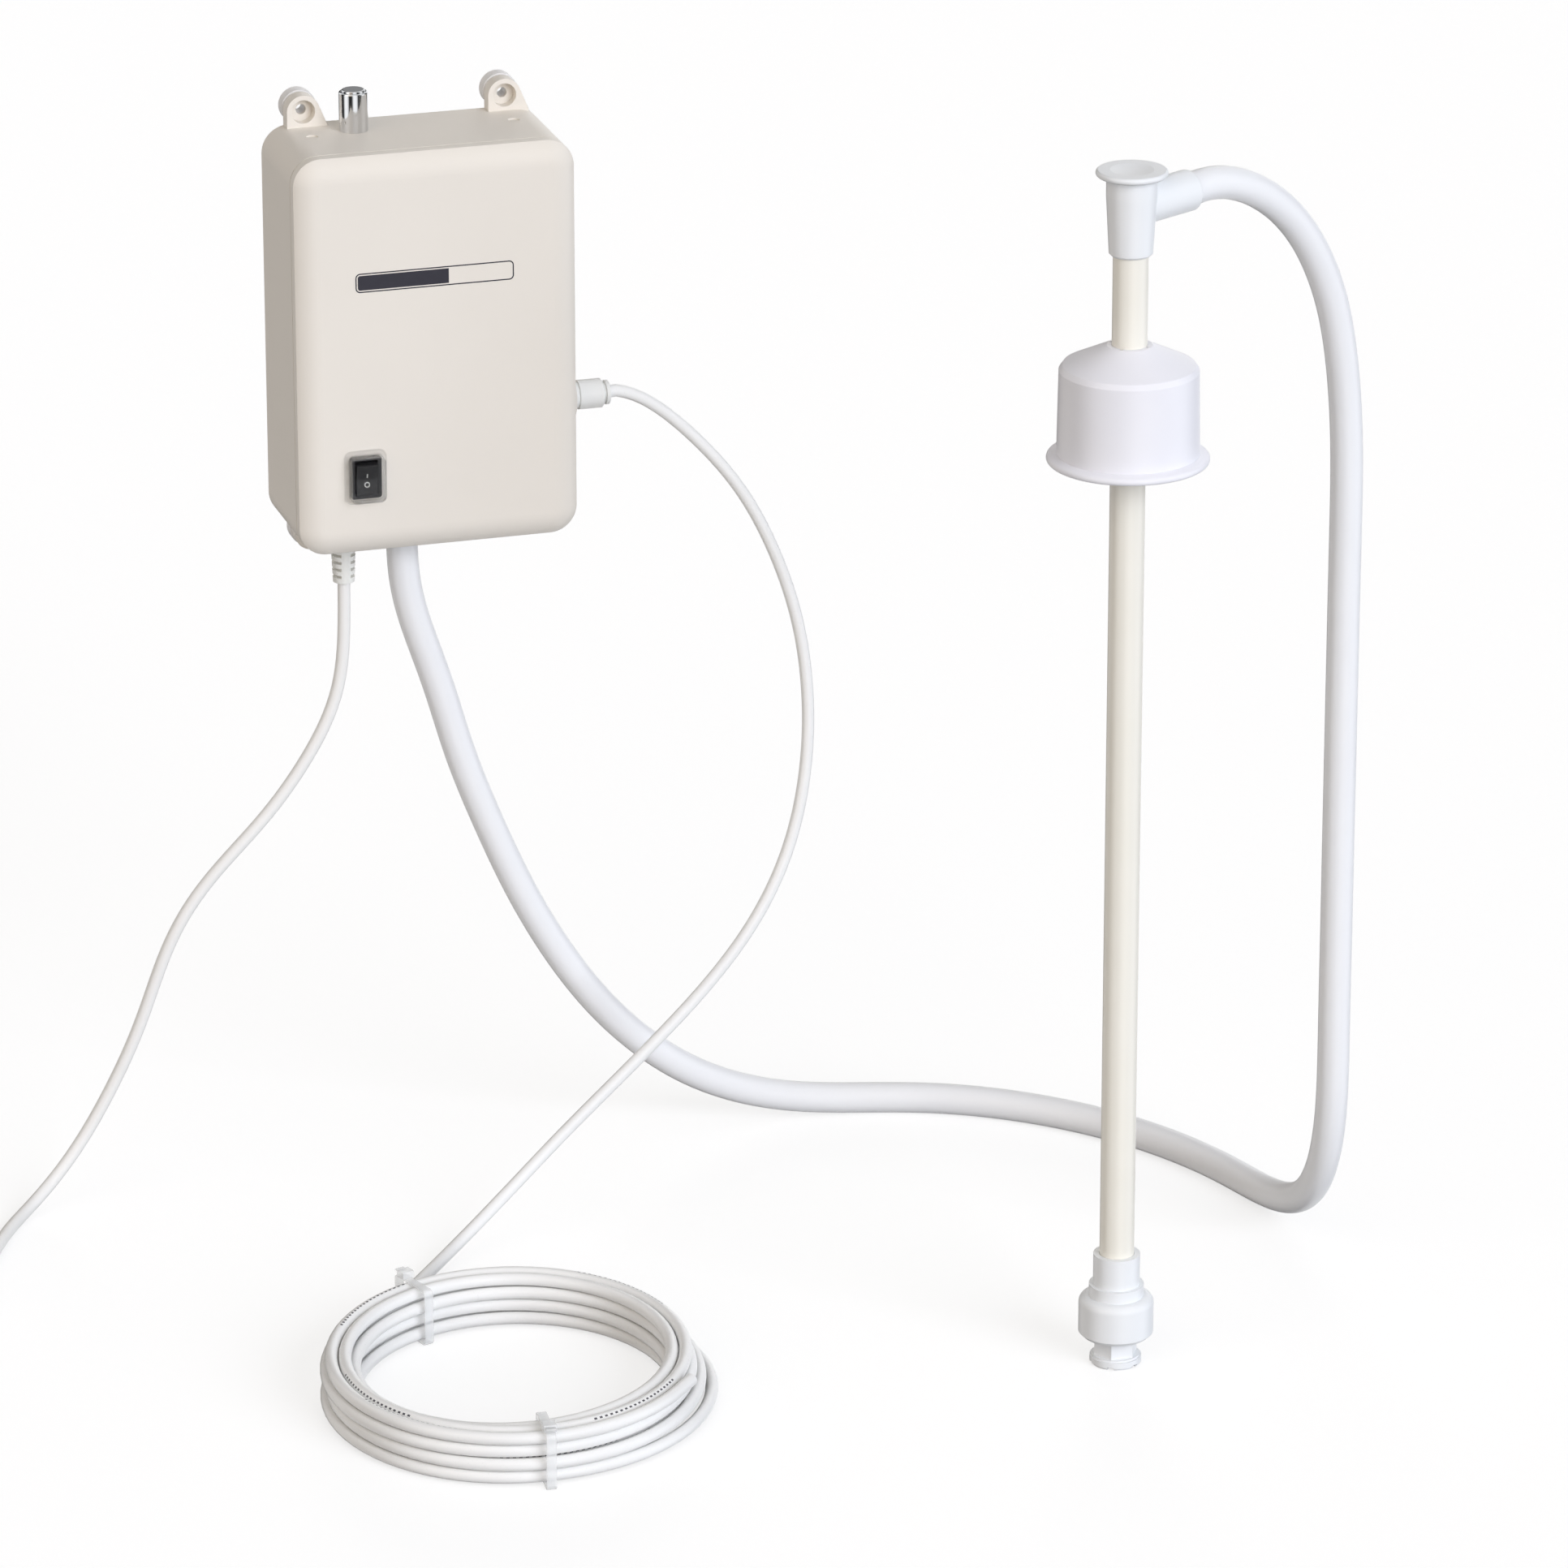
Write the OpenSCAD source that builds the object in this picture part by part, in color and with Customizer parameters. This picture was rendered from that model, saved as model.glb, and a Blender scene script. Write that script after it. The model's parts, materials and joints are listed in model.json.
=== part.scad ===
// Wall-mounted electric water pump with a suction wand, a coil of outlet tube and a power cord.
// Millimetres, +Z up. The wall is the plane y = 0, the front faces -Y, and the origin is
// the centre of the four wall holes.

/* [Housing] */
// Width of the housing
housing_w = 144; // [138:1:170]
// Height of the housing
housing_h = 206; // [190:1:236]
// Depth of the rear shell
shell_d = 58; // [56:1:76]
// Depth of the front cover
cover_d = 12; // [11:0.5:16]
// Straight lip round the front cover
cover_lip = 6.5; // [4:0.5:8]
// Radius of the housing corners
corner_r = 14; // [13:0.5:20]
// Height of the shadow gap between the shell and the cover
seam_gap = 0.8; // [0.4:0.1:1]
// Width of the rounded edge of the front cover
edge_blend = 12; // [8:0.5:12.5]
// Wall of the housing
wall = 3; // [2.5:0.25:3.5]

/* [Wall mount] */
// Spacing of the wall holes across
hole_spacing_x = 104; // [90:1:108]
// Height of the wall holes above and below the housing
hole_rise = 8; // [7:0.5:12]
// Diameter of the wall holes
hole_d = 5.2; // [4:0.1:6.5]
// Diameter of the counterbore in each ear
ear_bore_d = 12; // [10:0.5:14]
// Depth of the counterbore in each ear
ear_bore_depth = 5.5; // [2:0.5:6]
// Radius of the round end of each ear
ear_r = 8.5; // [8:0.5:10]
// Width of each ear where it meets the housing
ear_w = 21; // [19:0.5:26]
// Offset of the ear's base from its hole, towards the outlet side
ear_lean = 2; // [0:0.25:2]
// Thickness of each ear
ear_t = 8; // [7:0.5:12]
// Diameter of the rubber wall isolators
isolator_d = 18; // [14:0.5:22]
// Height of the rubber wall isolators
isolator_h = 8; // [5:0.5:12]

/* [Switch] */
// Width of the switch bezel
bezel_w = 15.6; // [15.4:0.2:18]
// Height of the switch bezel
bezel_h = 21.6; // [21:0.2:24]
// Thickness of the switch bezel
bezel_t = 2.5; // [2:0.25:3.5]
// Width of the rocker
rocker_w = 11; // [10:0.2:11.2]
// Height of the rocker
rocker_h = 16; // [14:0.2:16.4]
// Tilt of the rocker to either side
rocker_tilt = 9; // [6:0.5:11]
// Width of the flange round the clear boot
boot_flange = 1.9; // [1.5:0.1:3]
// Depth of the switch body behind the cover
switch_body_d = 22; // [18:0.5:26]

/* [Reset button] */
// Diameter of the chrome sleeve
reset_d = 14.6; // [13:0.2:17]
// Height of the reset button above the housing
reset_h = 21; // [17:0.5:26]
// Diameter of the plunger
plunger_d = 11.6; // [9:0.2:12]
// Travel of the plunger
reset_travel = 3; // [2:0.25:4]
// Height of the breaker body below the top wall
breaker_h = 34; // [28:1:40]

/* [Outlet] */
// Outer diameter of the outlet tube
tube_d = 6.35; // [6:0.05:6.5]
// Diameter of the round boss on the side
boss_d = 29; // [24:0.5:34]
// Height of the round boss
boss_h = 6; // [5:0.5:10]
// Diameter of the outlet collar
collar_d = 15; // [13:0.25:17]
// Length of the outlet collar
collar_len = 15.5; // [12:0.5:18]
// Travel of the release collet
collet_travel = 1.2; // [0.8:0.1:1.6]

/* [Pump] */
// Diameter of the pump head
head_d = 52; // [48:1:53]
// Height of the pump head
head_h = 22; // [18:1:26]
// Thickness of the valve plate
valve_plate_t = 4; // [3.5:0.5:6]
// Thickness of the diaphragm
diaphragm_t = 2; // [1.5:0.25:3]
// Height of the pump housing
drive_h = 30; // [28:1:36]
// Length of the motor can
can_len = 66; // [58:1:72]
// Diameter of the motor can
can_d = 44; // [42:1:48]
// Wall of the motor can
can_wall = 2; // [1.5:0.25:2.5]
// Diameter of the motor shaft
shaft_d = 5; // [4:0.25:6]
// Offset of the cam from the shaft
cam_throw = 1.2; // [0.6:0.1:1.6]
// Height of the middle of the pump above the middle of the housing
pump_lift = 4; // [0:0.5:6]
// Diameter of the ports on the pump head
port_d = 8; // [7:0.5:10]

/* [Wand] */
// Outer diameter of the suction tube
wand_d = 17; // [16:0.25:18]
// Bore of the suction tube
wand_bore = 13; // [11:0.25:14]
// Height of the whole wand
wand_h = 611; // [520:1:680]
// Height of the wand head without its plug
wand_head_h = 38; // [34:1:46]
// Diameter at the top of the wand head
wand_head_d = 24.2; // [23:0.2:27]
// Diameter of the mushroom plug
plug_disc_d = 34.4; // [28:0.2:38]
// Outer diameter of the side socket
socket_d = 20; // [19:0.25:21]
// Length of the side socket from the wand axis
socket_len = 38; // [30:1:44]
// Gap between the top of the cap and the wand head
cap_gap = 44.4; // [32:0.2:120]
// Diameter of the cap body
cap_d = 68.5; // [66:0.5:74]
// Diameter of the cap rim
cap_rim_d = 78; // [74:0.5:84]
// Height of the flared skirt of the cap
cap_flare_h = 4.5; // [3.5:0.5:8]
// Height of the cap up to its shoulder
cap_h = 48; // [42:1:54]
// Height of the cone on the cap
cap_cone_h = 10; // [8:1:16]
// Inner diameter of the cap, which fits the neck
neck_d = 55.4; // [50:0.2:56.4]
// Diameter of the foot ring
foot_ring_d = 37; // [36:0.5:42]
// Height of the foot ring
foot_ring_h = 21; // [20:0.5:26]

/* [Hose and cord] */
// Outer diameter of the suction hose
hose_d = 16; // [15:0.25:16.5]
// Diameter of the power cord
cord_d = 6.5; // [5.5:0.1:7]
// Turns in each layer of the outlet coil
coil_turns = 2; // [1:0.5:2.5]
// Turns in each layer of the cord coil
cord_coil_turns = 2.5; // [1.5:1:3.5]

/* [Hidden] */
$fn = 72;

// Clearances
slip = 0.05;
gap = 0.2;
seat = 0.1;
weld = 0.02;

// Planes of the housing
rear_y = -isolator_h;
inner_y = rear_y - wall;
seam_y = rear_y - shell_d;
front_y = seam_y - cover_d;
top_z = housing_h / 2;
bottom_z = -housing_h / 2;
right_x = housing_w / 2;
left_x = -housing_w / 2;
screw_inset = 9;
screw_d = 3;
screw_head_d = 6;
screw_recess = 3;
screw_bite = 5.5;
post_d = 9;
seam_gap_d = 0.7;
dimple_d = 6;
dimple_depth = 0.8;
dimple_reach = 25;
dimple_y = rear_y - dimple_reach;
crown_drop = cover_d - cover_lip;
crown_r = (edge_blend * edge_blend + crown_drop * crown_drop) / (2 * crown_drop);
corners = [for (sx = [-1, 1], sz = [-1, 1]) [sx, sz]];
ear_x = hole_spacing_x / 2;
ear_z = top_z + hole_rise;

// Pump axis and its stack, worked upward from the outlet
foot_pad_h = 4;
foot_pad_d = 12;
foot_stem_d = 5;
foot_head_d = 8.5;
foot_head_t = 1.4;
foot_inset = 8;
bracket_t = 2;
head_r = head_d / 2;
can_r = can_d / 2;
shaft_r = shaft_d / 2;
port_r = port_d / 2;
port_len = 7;
port_room = 17;
head_gap = 1;
pump_x = right_x - wall - port_room - head_r;
bracket_y = inner_y - foot_pad_h;
pump_y = bracket_y - bracket_t - head_gap - head_r;
bell_h = 9;
bell_t = 2.5;
sensor_d = 18;
sensor_h = 14;
sensor_stem_d = 6;
tab_w = 6.4;
tab_t = 0.8;
tab_len = 8;
stack_up = head_h / 2 + valve_plate_t + diaphragm_t + drive_h + can_len + bell_h;
stack_down = head_h / 2 + sensor_h + tab_len - 1;
outlet_z = pump_lift - (stack_up - stack_down) / 2;
head_bottom = outlet_z - head_h / 2;
head_top = head_bottom + head_h;
plate_top = head_top + valve_plate_t;
drive_bottom = plate_top + diaphragm_t;
drive_top = drive_bottom + drive_h;
can_top = drive_top + can_len;
bearing_d = 16;
bearing_h = 5;
drive_wall = 7.5;
drive_bore_r = head_r - drive_wall;
bolt_r = head_r - drive_wall / 2;
bolt_count = 6;
cam_r = shaft_r + 3.5;
cam_bearing_bore_r = cam_r + cam_throw + gap;
cam_bearing_r = cam_bearing_bore_r + 3.5;
cam_bearing_h = 8;
wobble_t = 7;
wobble_pad_h = 2;
wobble_r = drive_bore_r - 1.8;
wobble_bottom = drive_bottom + wobble_pad_h;
wobble_top = wobble_bottom + wobble_t;
cam_bottom = wobble_top + 1;
cam_top = drive_top - bearing_h - 1;
commutator_r = 8;
commutator_h = 9;
commutator_top = can_top - 3;
brush_w = 4;
brush_h = 6;
brush_z = commutator_top - commutator_h / 2;
magnet_t = 3;
magnet_r = can_r - can_wall - gap;
core_r = magnet_r - magnet_t - 0.7;
core_bottom = drive_top + 12;
core_top = commutator_top - commutator_h - 4;
strap_z = drive_top + can_len * 0.45;
strap_h = 8;
strap_t = 1.2;
bracket_half_w = can_r + 4;
bracket_bottom = drive_bottom + 4;
bracket_top = can_top - 6;
foot_points = [for (sx = [-1, 1], z = [bracket_bottom + foot_inset, bracket_top - foot_inset])
  [pump_x + sx * (bracket_half_w - foot_inset), z]];
flap_d = 10;
flap_t = 0.8;
flap_ring_r = head_r * 0.42;

// Switch, reset button, board, hose and cord entries
switch_inset = 33;
switch_rise = 41;
switch_x = left_x + switch_inset;
switch_z = bottom_z + switch_rise;
bezel_y = front_y - bezel_t;
rocker_gap = 0.4;
pivot_depth = 2.2;
pivot_r = 1.2;
pivot_bite = 0.5;
rocker_rise = 2.4;
rocker_dish = 1.6;
rocker_belly = 4;
rocker_swing = rocker_h / 2 * cos(rocker_tilt) + (rocker_rise + pivot_depth) * sin(rocker_tilt);
window_w = rocker_w + 2 * rocker_gap;
window_h = 2 * (rocker_swing + rocker_gap);
bezel_lap = 0.7;
bezel_corner = 1.5;
switch_neck_w = bezel_w - 2 * bezel_lap;
switch_neck_h = bezel_h - 2 * bezel_lap;
boot_play = 0.3;
boot_wall = 0.8;
boot_flange_t = 1;
boot_room = rocker_rise * cos(rocker_tilt) + rocker_h / 2 * sin(rocker_tilt) + 0.5;
reset_inset = 43;
reset_reach = 19;
reset_x = left_x + reset_inset;
reset_y = rear_y - reset_reach;
sleeve_neck_d = reset_d - 3;
sleeve_drop = 3;
sleeve_floor_z = top_z + 1.5;
plunger_z = top_z + 12;
plunger_proud = 1;
plunger_stem_d = 3;
stem_gap = 0.5;
breaker_w = 24;
breaker_d = 16;
spring_wire = 0.8;
gland_d = 13.2;
gland_flange_d = gland_d + 3;
gland_len = 25;
gland_rows = 5;
gland_rib = 4.8;
gland_neck_d = 11;
hose_x = pump_x - head_r - 12;
grommet_lip = 3;
grommet_lip_t = 2.4;
grommet_d = hose_d + 2 * grommet_lip + 4;
entry_gap = 9.5;
gland_x = hose_x - grommet_d / 2 - entry_gap - gland_flange_d / 2;
elbow_drop = 36;
elbow_end_z = outlet_z - elbow_drop;
board_w = 46;
board_h = 66;
board_t = 1.6;
board_gap = 14;
board_inset = 7;
capacitor_d = 13;
capacitor_h = 22;
relay = [16, 20, 15];
rectifier = [20, 10, 9];
terminal = [12, 5, 12];
board_x = left_x + wall + board_inset + board_w / 2;
board_z = top_z - wall - sleeve_drop - breaker_h - tab_len - board_gap - board_h / 2;
standoff_h = 5;
board_screw_d = 2;
standoff_d = 6;
standoff_inset = 4;
board_points = [for (c = corners)
  [board_x + c[0] * (board_w / 2 - standoff_inset), board_z + c[1] * (board_h / 2 - standoff_inset)]];

// Outlet fitting along X
boss_edge = 5;
boss_x = right_x + boss_h;
collar_x = boss_x + collar_len;
fit_bore_d = 11;
tube_stop_x = boss_x - 2;
ring_x = tube_stop_x + 4;
ring_t = 2;
collet_flange_t = 2;
collet_flange_d = collar_d - 2.6;
tube_r = tube_d / 2;
collet_x = collar_x + collet_travel + 0.3;

// Wand, standing upright on the floor
floor_z = -450;
wand_x = 255;
wand_y = -390;
socket_turn = 27;
wand_r = wand_d / 2;
hose_r = hose_d / 2;
cord_r = cord_d / 2;
wand_head_low_r = wand_head_d / 2 - 1.6;
disc_t = 3;
plug_groove = 0.6;
plug_dish_r = 60;
plug_dish = 0.9;
wand_head_top = wand_h - disc_t - plug_groove;
wand_head_bottom = wand_head_top - wand_head_h;
socket_h = wand_head_top - 14.5;
socket_depth = 14;
tube_insert = 13;
plug_neck_h = 5;
foot_flange_d = 25.5;
foot_flange_h = 5;
foot_hex_h = 10;
foot_hex_d = 22;
foot_step_d = 27;
foot_step_h = 6;
foot_collar_d = 23;
foot_collar_h = 16;
foot_edge_r = 4;
foot_chamfer = 2;
ring_base = foot_flange_h + foot_hex_h;
ring_top = ring_base + foot_ring_h;
step_top = ring_top + foot_step_h;
foot_top = step_top + foot_collar_h;
foot_thread_h = 6;
chamber_r = 12;
valve_seat_h = ring_base + foot_thread_h + 1;
poppet_r = 9.4;
poppet_t = 3;
poppet_stem_r = 3;
valve_spring_r = 7;
inlet_bore_r = 6.5;
foot_bore_r = wand_bore / 2 - 1;
wand_seat_h = step_top + 1;
suction_top = wand_head_bottom + tube_insert;
cap_lip_r = 1.8;
cap_wall = 2.2;
cap_collar_wall = 2.4;
cap_collar_drop = 30;
cap_hub_wall = 2.5;
seal_t = 3;
cap_shoulder = 2.5;
cap_draft = 0.8;
cap_roof = cap_h - cap_shoulder;
cap_base = wand_head_bottom - cap_gap - cap_cone_h - cap_h;

// Routes of the hose, the tube and the cord, chosen by hand
hose_route = [
  [-6, -43, -152], [6, -43, -188], [17, -44, -228], [29, -45, -260], [41, -45, -290],
  [56, -45, -321], [73, -45, -350], [93, -45, -377], [118, -44, -402], [150, -42, -424],
  [190, -43, -438], [230, -48, -442], [275, -64, -442], [320, -96, -442], [356, -140, -442],
  [380, -190, -442], [391, -235, -440], [394, -275, -426], [393, -305, -398], [392, -320, -360],
  [391, -324, -300], [391, -324, -200], [391, -324, -100], [391, -324, -30], [390, -324, 4],
  [387, -325, 31], [382, -328, 57], [376, -331, 76], [367, -335, 94], [357, -340, 110],
  [343, -347, 124], [326, -354, 136]
];
tube_route = [
  [118, -45, -48], [141, -48, -68], [164, -53, -96], [180, -60, -130], [190, -67, -164],
  [193, -74, -197], [192, -80, -221], [187, -87, -249], [176, -95, -281], [154, -105, -315],
  [122, -117, -345], [93, -127, -366], [69, -135, -383], [45, -143, -399], [20, -152, -417],
  [-4, -162, -433], [-28, -180, -443], [-55, -211, -446]
];
cord_route = [
  [-44, -45, -160], [-47, -46, -186], [-55, -47, -203], [-69, -48, -226],
  [-88, -49, -250], [-112, -49, -274], [-131, -48, -299], [-143, -46, -325], [-152, -44, -352],
  [-163, -42, -378], [-174, -41, -399], [-187, -42, -420], [-202, -46, -436], [-216, -56, -445],
  [-231, -76, -446], [-246, -105, -446]
];

// Outlet coil: it spirals in and out in turn, and climbs one layer each time it reverses
coil_layers = 4;
coil_rings = 24;
coil_sides = 6;
coil_gap = 0.5;
coil_pitch = tube_d + coil_gap;
coil_x = -41;
coil_y = -347;
coil_outer_r = 91;
coil_start = 138;
coil_stretch = 1.12;
coil_turn = 17;
coil_tail = 12;
coil_slack = 11;
slack_from = 0.34;
slack_to = 0.9;
tie_t = 0.8;
tie_room = 0.8;
coil_base_z = floor_z + 1.2 + tube_r;

// Cord coil, laid the same way
cord_coil_layers = 2;
cord_pitch = cord_d + coil_gap;
cord_coil_x = -312;
cord_coil_y = -148;
cord_coil_outer_r = 42;
cord_coil_start = -19;
cord_coil_base_z = floor_z + 1.2 + cord_r;
cord_tail = 38;
plug_len = 34;
plug_neck = 10;
plug_neck_d = 12;
plug_face = [26, 20];
plug_face_t = 4;
plug_step = 1.5;
plug_corner = 6;
blade_offset = 6.35;
blade_w = 6.3;
blade_t = 1.5;
blade_len = 17;
earth_d = 4.8;
earth_len = 20;
earth_drop = 5.5;

function unit(v) = v / norm(v);
function along(p, i) = unit(p[min(i + 1, len(p) - 1)] - p[max(i - 1, 0)]);
function tangents(p) = [for (i = [0:len(p) - 1]) along(p, i)];
function square_to(n, t) = unit(n - (n * t) * t);
function first_normal(t) = square_to(abs(t[2]) < 0.9 ? [0, 0, 1] : [0, 1, 0], t);
function carried(t) = [
  for (i = 0, n = first_normal(t[0]); i < len(t);
       i = i + 1, n = i < len(t) ? square_to(n, t[i]) : n) n
];
function ring_points(c, n, t, r, sides) =
  [for (k = [0:sides - 1]) c + r * (cos(360 * k / sides) * n + sin(360 * k / sides) * cross(t, n))];

// Smooth curve through the chosen points, with a given number of steps between them
function knot(a, b, c, d, u) =
  0.5 * (2 * b + (c - a) * u + (2 * a - 5 * b + 4 * c - d) * u * u + (3 * b - a - 3 * c + d) * u * u * u);
function smooth_route(p, steps) = concat(
  [for (i = [0:len(p) - 2], s = [0:steps - 1])
    knot(p[max(i - 1, 0)], p[i], p[i + 1], p[min(i + 2, len(p) - 1)], s / steps)],
  [p[len(p) - 1]]
);
function steps_of(p) = [for (i = [1:len(p) - 1]) norm(p[i] - p[i - 1])];
function route_length(p) = steps_of(p) * [for (i = [1:len(p) - 1]) 1];

// Coil path: a point for each turn t, centred on the origin before it is placed. The spiral reverses
// every half turn past its turns, and the first turn may stray outward by its slack.
function coil_total(layers, turns) = layers * turns + (layers - 1) / 2;
function coil_phase(turns, t) = (t + 0.25) % (2 * turns + 1);
function coil_inward(turns, t) =
  let (p = coil_phase(turns, t)) (p < turns + 0.5 ? p : 2 * turns + 1 - p) - 0.25;
function coil_bulge(t) =
  t < slack_from || t > slack_to ? 0 : (1 - cos(360 * (t - slack_from) / (slack_to - slack_from))) / 2;
function climb_step(u) = (1 - cos(180 * min(max(u, 0), 1))) / 2;
function coil_climb(layers, turns, t) =
  [for (k = [1:layers - 1]) climb_step(2 * (t - k * turns) - k + 1)] * [for (k = [1:layers - 1]) 1];
function coil_point(layers, turns, pitch, outer, slack, start, hand, t) =
  let (r = outer - pitch * coil_inward(turns, t) + slack * coil_bulge(t), a = start + hand * 360 * t)
  [r * cos(a), r * sin(a), pitch * coil_climb(layers, turns, t)];
function coil_path(layers, turns, pitch, outer, slack, start, hand) =
  [for (i = [0:coil_rings * coil_total(layers, turns)])
    coil_point(layers, turns, pitch, outer, slack, start, hand, i / coil_rings)];
function led_in(p, lead, tail) = concat(
  [p[0] - lead * unit(p[1] - p[0])], p, [p[len(p) - 1] + tail * unit(p[len(p) - 1] - p[len(p) - 2])]
);
function stretched(p) = let (ax = [cos(coil_turn), -sin(coil_turn)], ay = [sin(coil_turn), cos(coil_turn)])
  let (u = p[0] * ax[0] + p[1] * ax[1], v = (p[0] * ay[0] + p[1] * ay[1]) * coil_stretch)
  [u * ax[0] + v * ay[0], u * ax[1] + v * ay[1], p[2]];

outlet_coil_path = led_in([
  for (p = coil_path(coil_layers, coil_turns, coil_pitch, coil_outer_r, coil_slack, coil_start, 1))
    [coil_x, coil_y, coil_base_z] + stretched(p)
], tube_d, coil_tail);
cord_coil_path = led_in([
  for (p = coil_path(
    cord_coil_layers, cord_coil_turns, cord_pitch, cord_coil_outer_r, 0, cord_coil_start, -1))
    [cord_coil_x, cord_coil_y, cord_coil_base_z] + p
], cord_d, cord_tail);

// Least gap of a wound tube to itself, measured on its own points past half a turn
function self_gap(p, d) =
  min([for (i = [0:len(p) - 1], j = [i + coil_rings / 2:len(p) - 1]) norm(p[i] - p[j])]) - d;
echo(outlet_coil_gap = self_gap(outlet_coil_path, tube_d));
echo(cord_coil_gap = self_gap(cord_coil_path, cord_d));

// Straight run that meets the start of a coil square on
function run_up(coil, d) = [for (k = [4, 2, 0]) coil[0] - k * d * unit(coil[1] - coil[0])];

socket_dir = [cos(socket_turn), sin(socket_turn), 0];
wand_axis = [wand_x, wand_y, floor_z];
socket_mouth = wand_axis + socket_len * socket_dir + [0, 0, socket_h];
hose_path = smooth_route(concat(
  [for (z = [elbow_end_z, bottom_z - 6, bottom_z - 20]) [hose_x, pump_y, z]],
  hose_route,
  [socket_mouth + 18 * socket_dir, socket_mouth, socket_mouth - socket_depth * socket_dir]
), 2);
tube_path = smooth_route(concat(
  [for (x = [tube_stop_x, collar_x + 4, collar_x + 10]) [x, pump_y, outlet_z]],
  tube_route,
  run_up(outlet_coil_path, tube_d)
), 3);
cord_path = smooth_route(concat(
  [for (z = [bottom_z + 8, bottom_z - gland_len, bottom_z - gland_len - 8]) [gland_x, pump_y, z]],
  cord_route,
  run_up(cord_coil_path, cord_d)
), 2);
cord_end = cord_coil_path[len(cord_coil_path) - 1];
cord_end_dir = unit(cord_end - cord_coil_path[len(cord_coil_path) - 2]);
echo(suction_hose_length = route_length(hose_path));
echo(outlet_tube_length = route_length(tube_path) + route_length(outlet_coil_path));
echo(power_cord_length = route_length(cord_path) + route_length(cord_coil_path));

// Round tube along a path, one closed skin of triangles
module swept_tube(path, r, sides) {
  t = tangents(path);
  n = carried(t);
  last = len(path) - 1;
  rings = [for (i = [0:last]) each ring_points(path[i], n[i], t[i], r, sides)];
  skin = [for (i = [0:last - 1], k = [0:sides - 1])
    let (a = i * sides + k, b = i * sides + (k + 1) % sides)
    each [[a, a + sides, b], [b, a + sides, b + sides]]];
  near = [for (k = [1:sides - 2]) [0, k, k + 1]];
  far = [for (k = [1:sides - 2]) [last * sides, last * sides + k + 1, last * sides + k]];
  polyhedron(rings, concat(skin, near, far));
}

// Spring with flat ends, standing on the origin
module spring_wire_form(mean_r, wire, turns, height) {
  steps = 10 * turns;
  path = [for (i = [0:steps]) [
    mean_r * cos(36 * i), mean_r * sin(36 * i), wire / 2 + (height - wire) * i / steps]];
  swept_tube(path, wire / 2, 6);
}

module rounded_rect(w, h, r) {
  square([w - 2 * r, h], center = true);
  square([w, h - 2 * r], center = true);
  for (c = corners) translate([c[0] * (w / 2 - r), c[1] * (h / 2 - r)]) circle(r);
}

// Draws its children facing -Y, with their z = 0 plane at the given y
module facing_front(y) {
  translate([0, y, 0]) rotate([90, 0, 0]) children();
}

// Draws its children standing along +X
module facing_right(x, y, z) {
  translate([x, y, z]) rotate([0, 90, 0]) children();
}

module ring(outer_r, inner_r, h) {
  difference() {
    cylinder(r = outer_r, h = h);
    translate([0, 0, -1]) cylinder(r = inner_r, h = h + 2);
  }
}

// Round disc whose upper edge is rounded
module rounded_disc(r, h, edge) {
  rotate_extrude() {
    square([r, h - edge]);
    square([r - edge, h]);
    translate([r - edge, h - edge]) intersection() {
      circle(edge);
      square(edge);
    }
  }
}

module pan_screw(shank_d, shank_len, head_dia, head_t) {
  cylinder(d = shank_d, h = shank_len);
  translate([0, 0, shank_len]) rounded_disc(head_dia / 2, head_t, head_t / 2);
}

// Point where the line from p touches a circle at the origin, on the side that side gives
function touch_point(p, r, side) =
  let (a = atan2(p[1], p[0]) + side * acos(min(1, r / norm(p)))) r * [cos(a), sin(a)];

// Ear in the plane of the wall, with its hole at the origin
module ear_outline(drop) {
  right = ear_lean + ear_w / 2;
  left = ear_lean - ear_w / 2;
  circle(ear_r);
  polygon([
    [left, -drop], [right, -drop], [right, -hole_rise],
    touch_point([right, -hole_rise], ear_r - weld, 1), touch_point([left, -hole_rise], ear_r - weld, -1),
    [left, -hole_rise]
  ]);
}

module at_wall_holes() {
  for (c = corners)
    translate([c[0] * ear_x, 0, c[1] * ear_z]) mirror([0, 0, c[1] < 0 ? 1 : 0]) children();
}

module at_cover_screws() {
  for (c = corners)
    translate([c[0] * (right_x - screw_inset), 0, c[1] * (top_z - screw_inset)]) children();
}

module at_each(points) {
  for (p = points) translate([p[0], 0, p[1]]) children();
}

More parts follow.
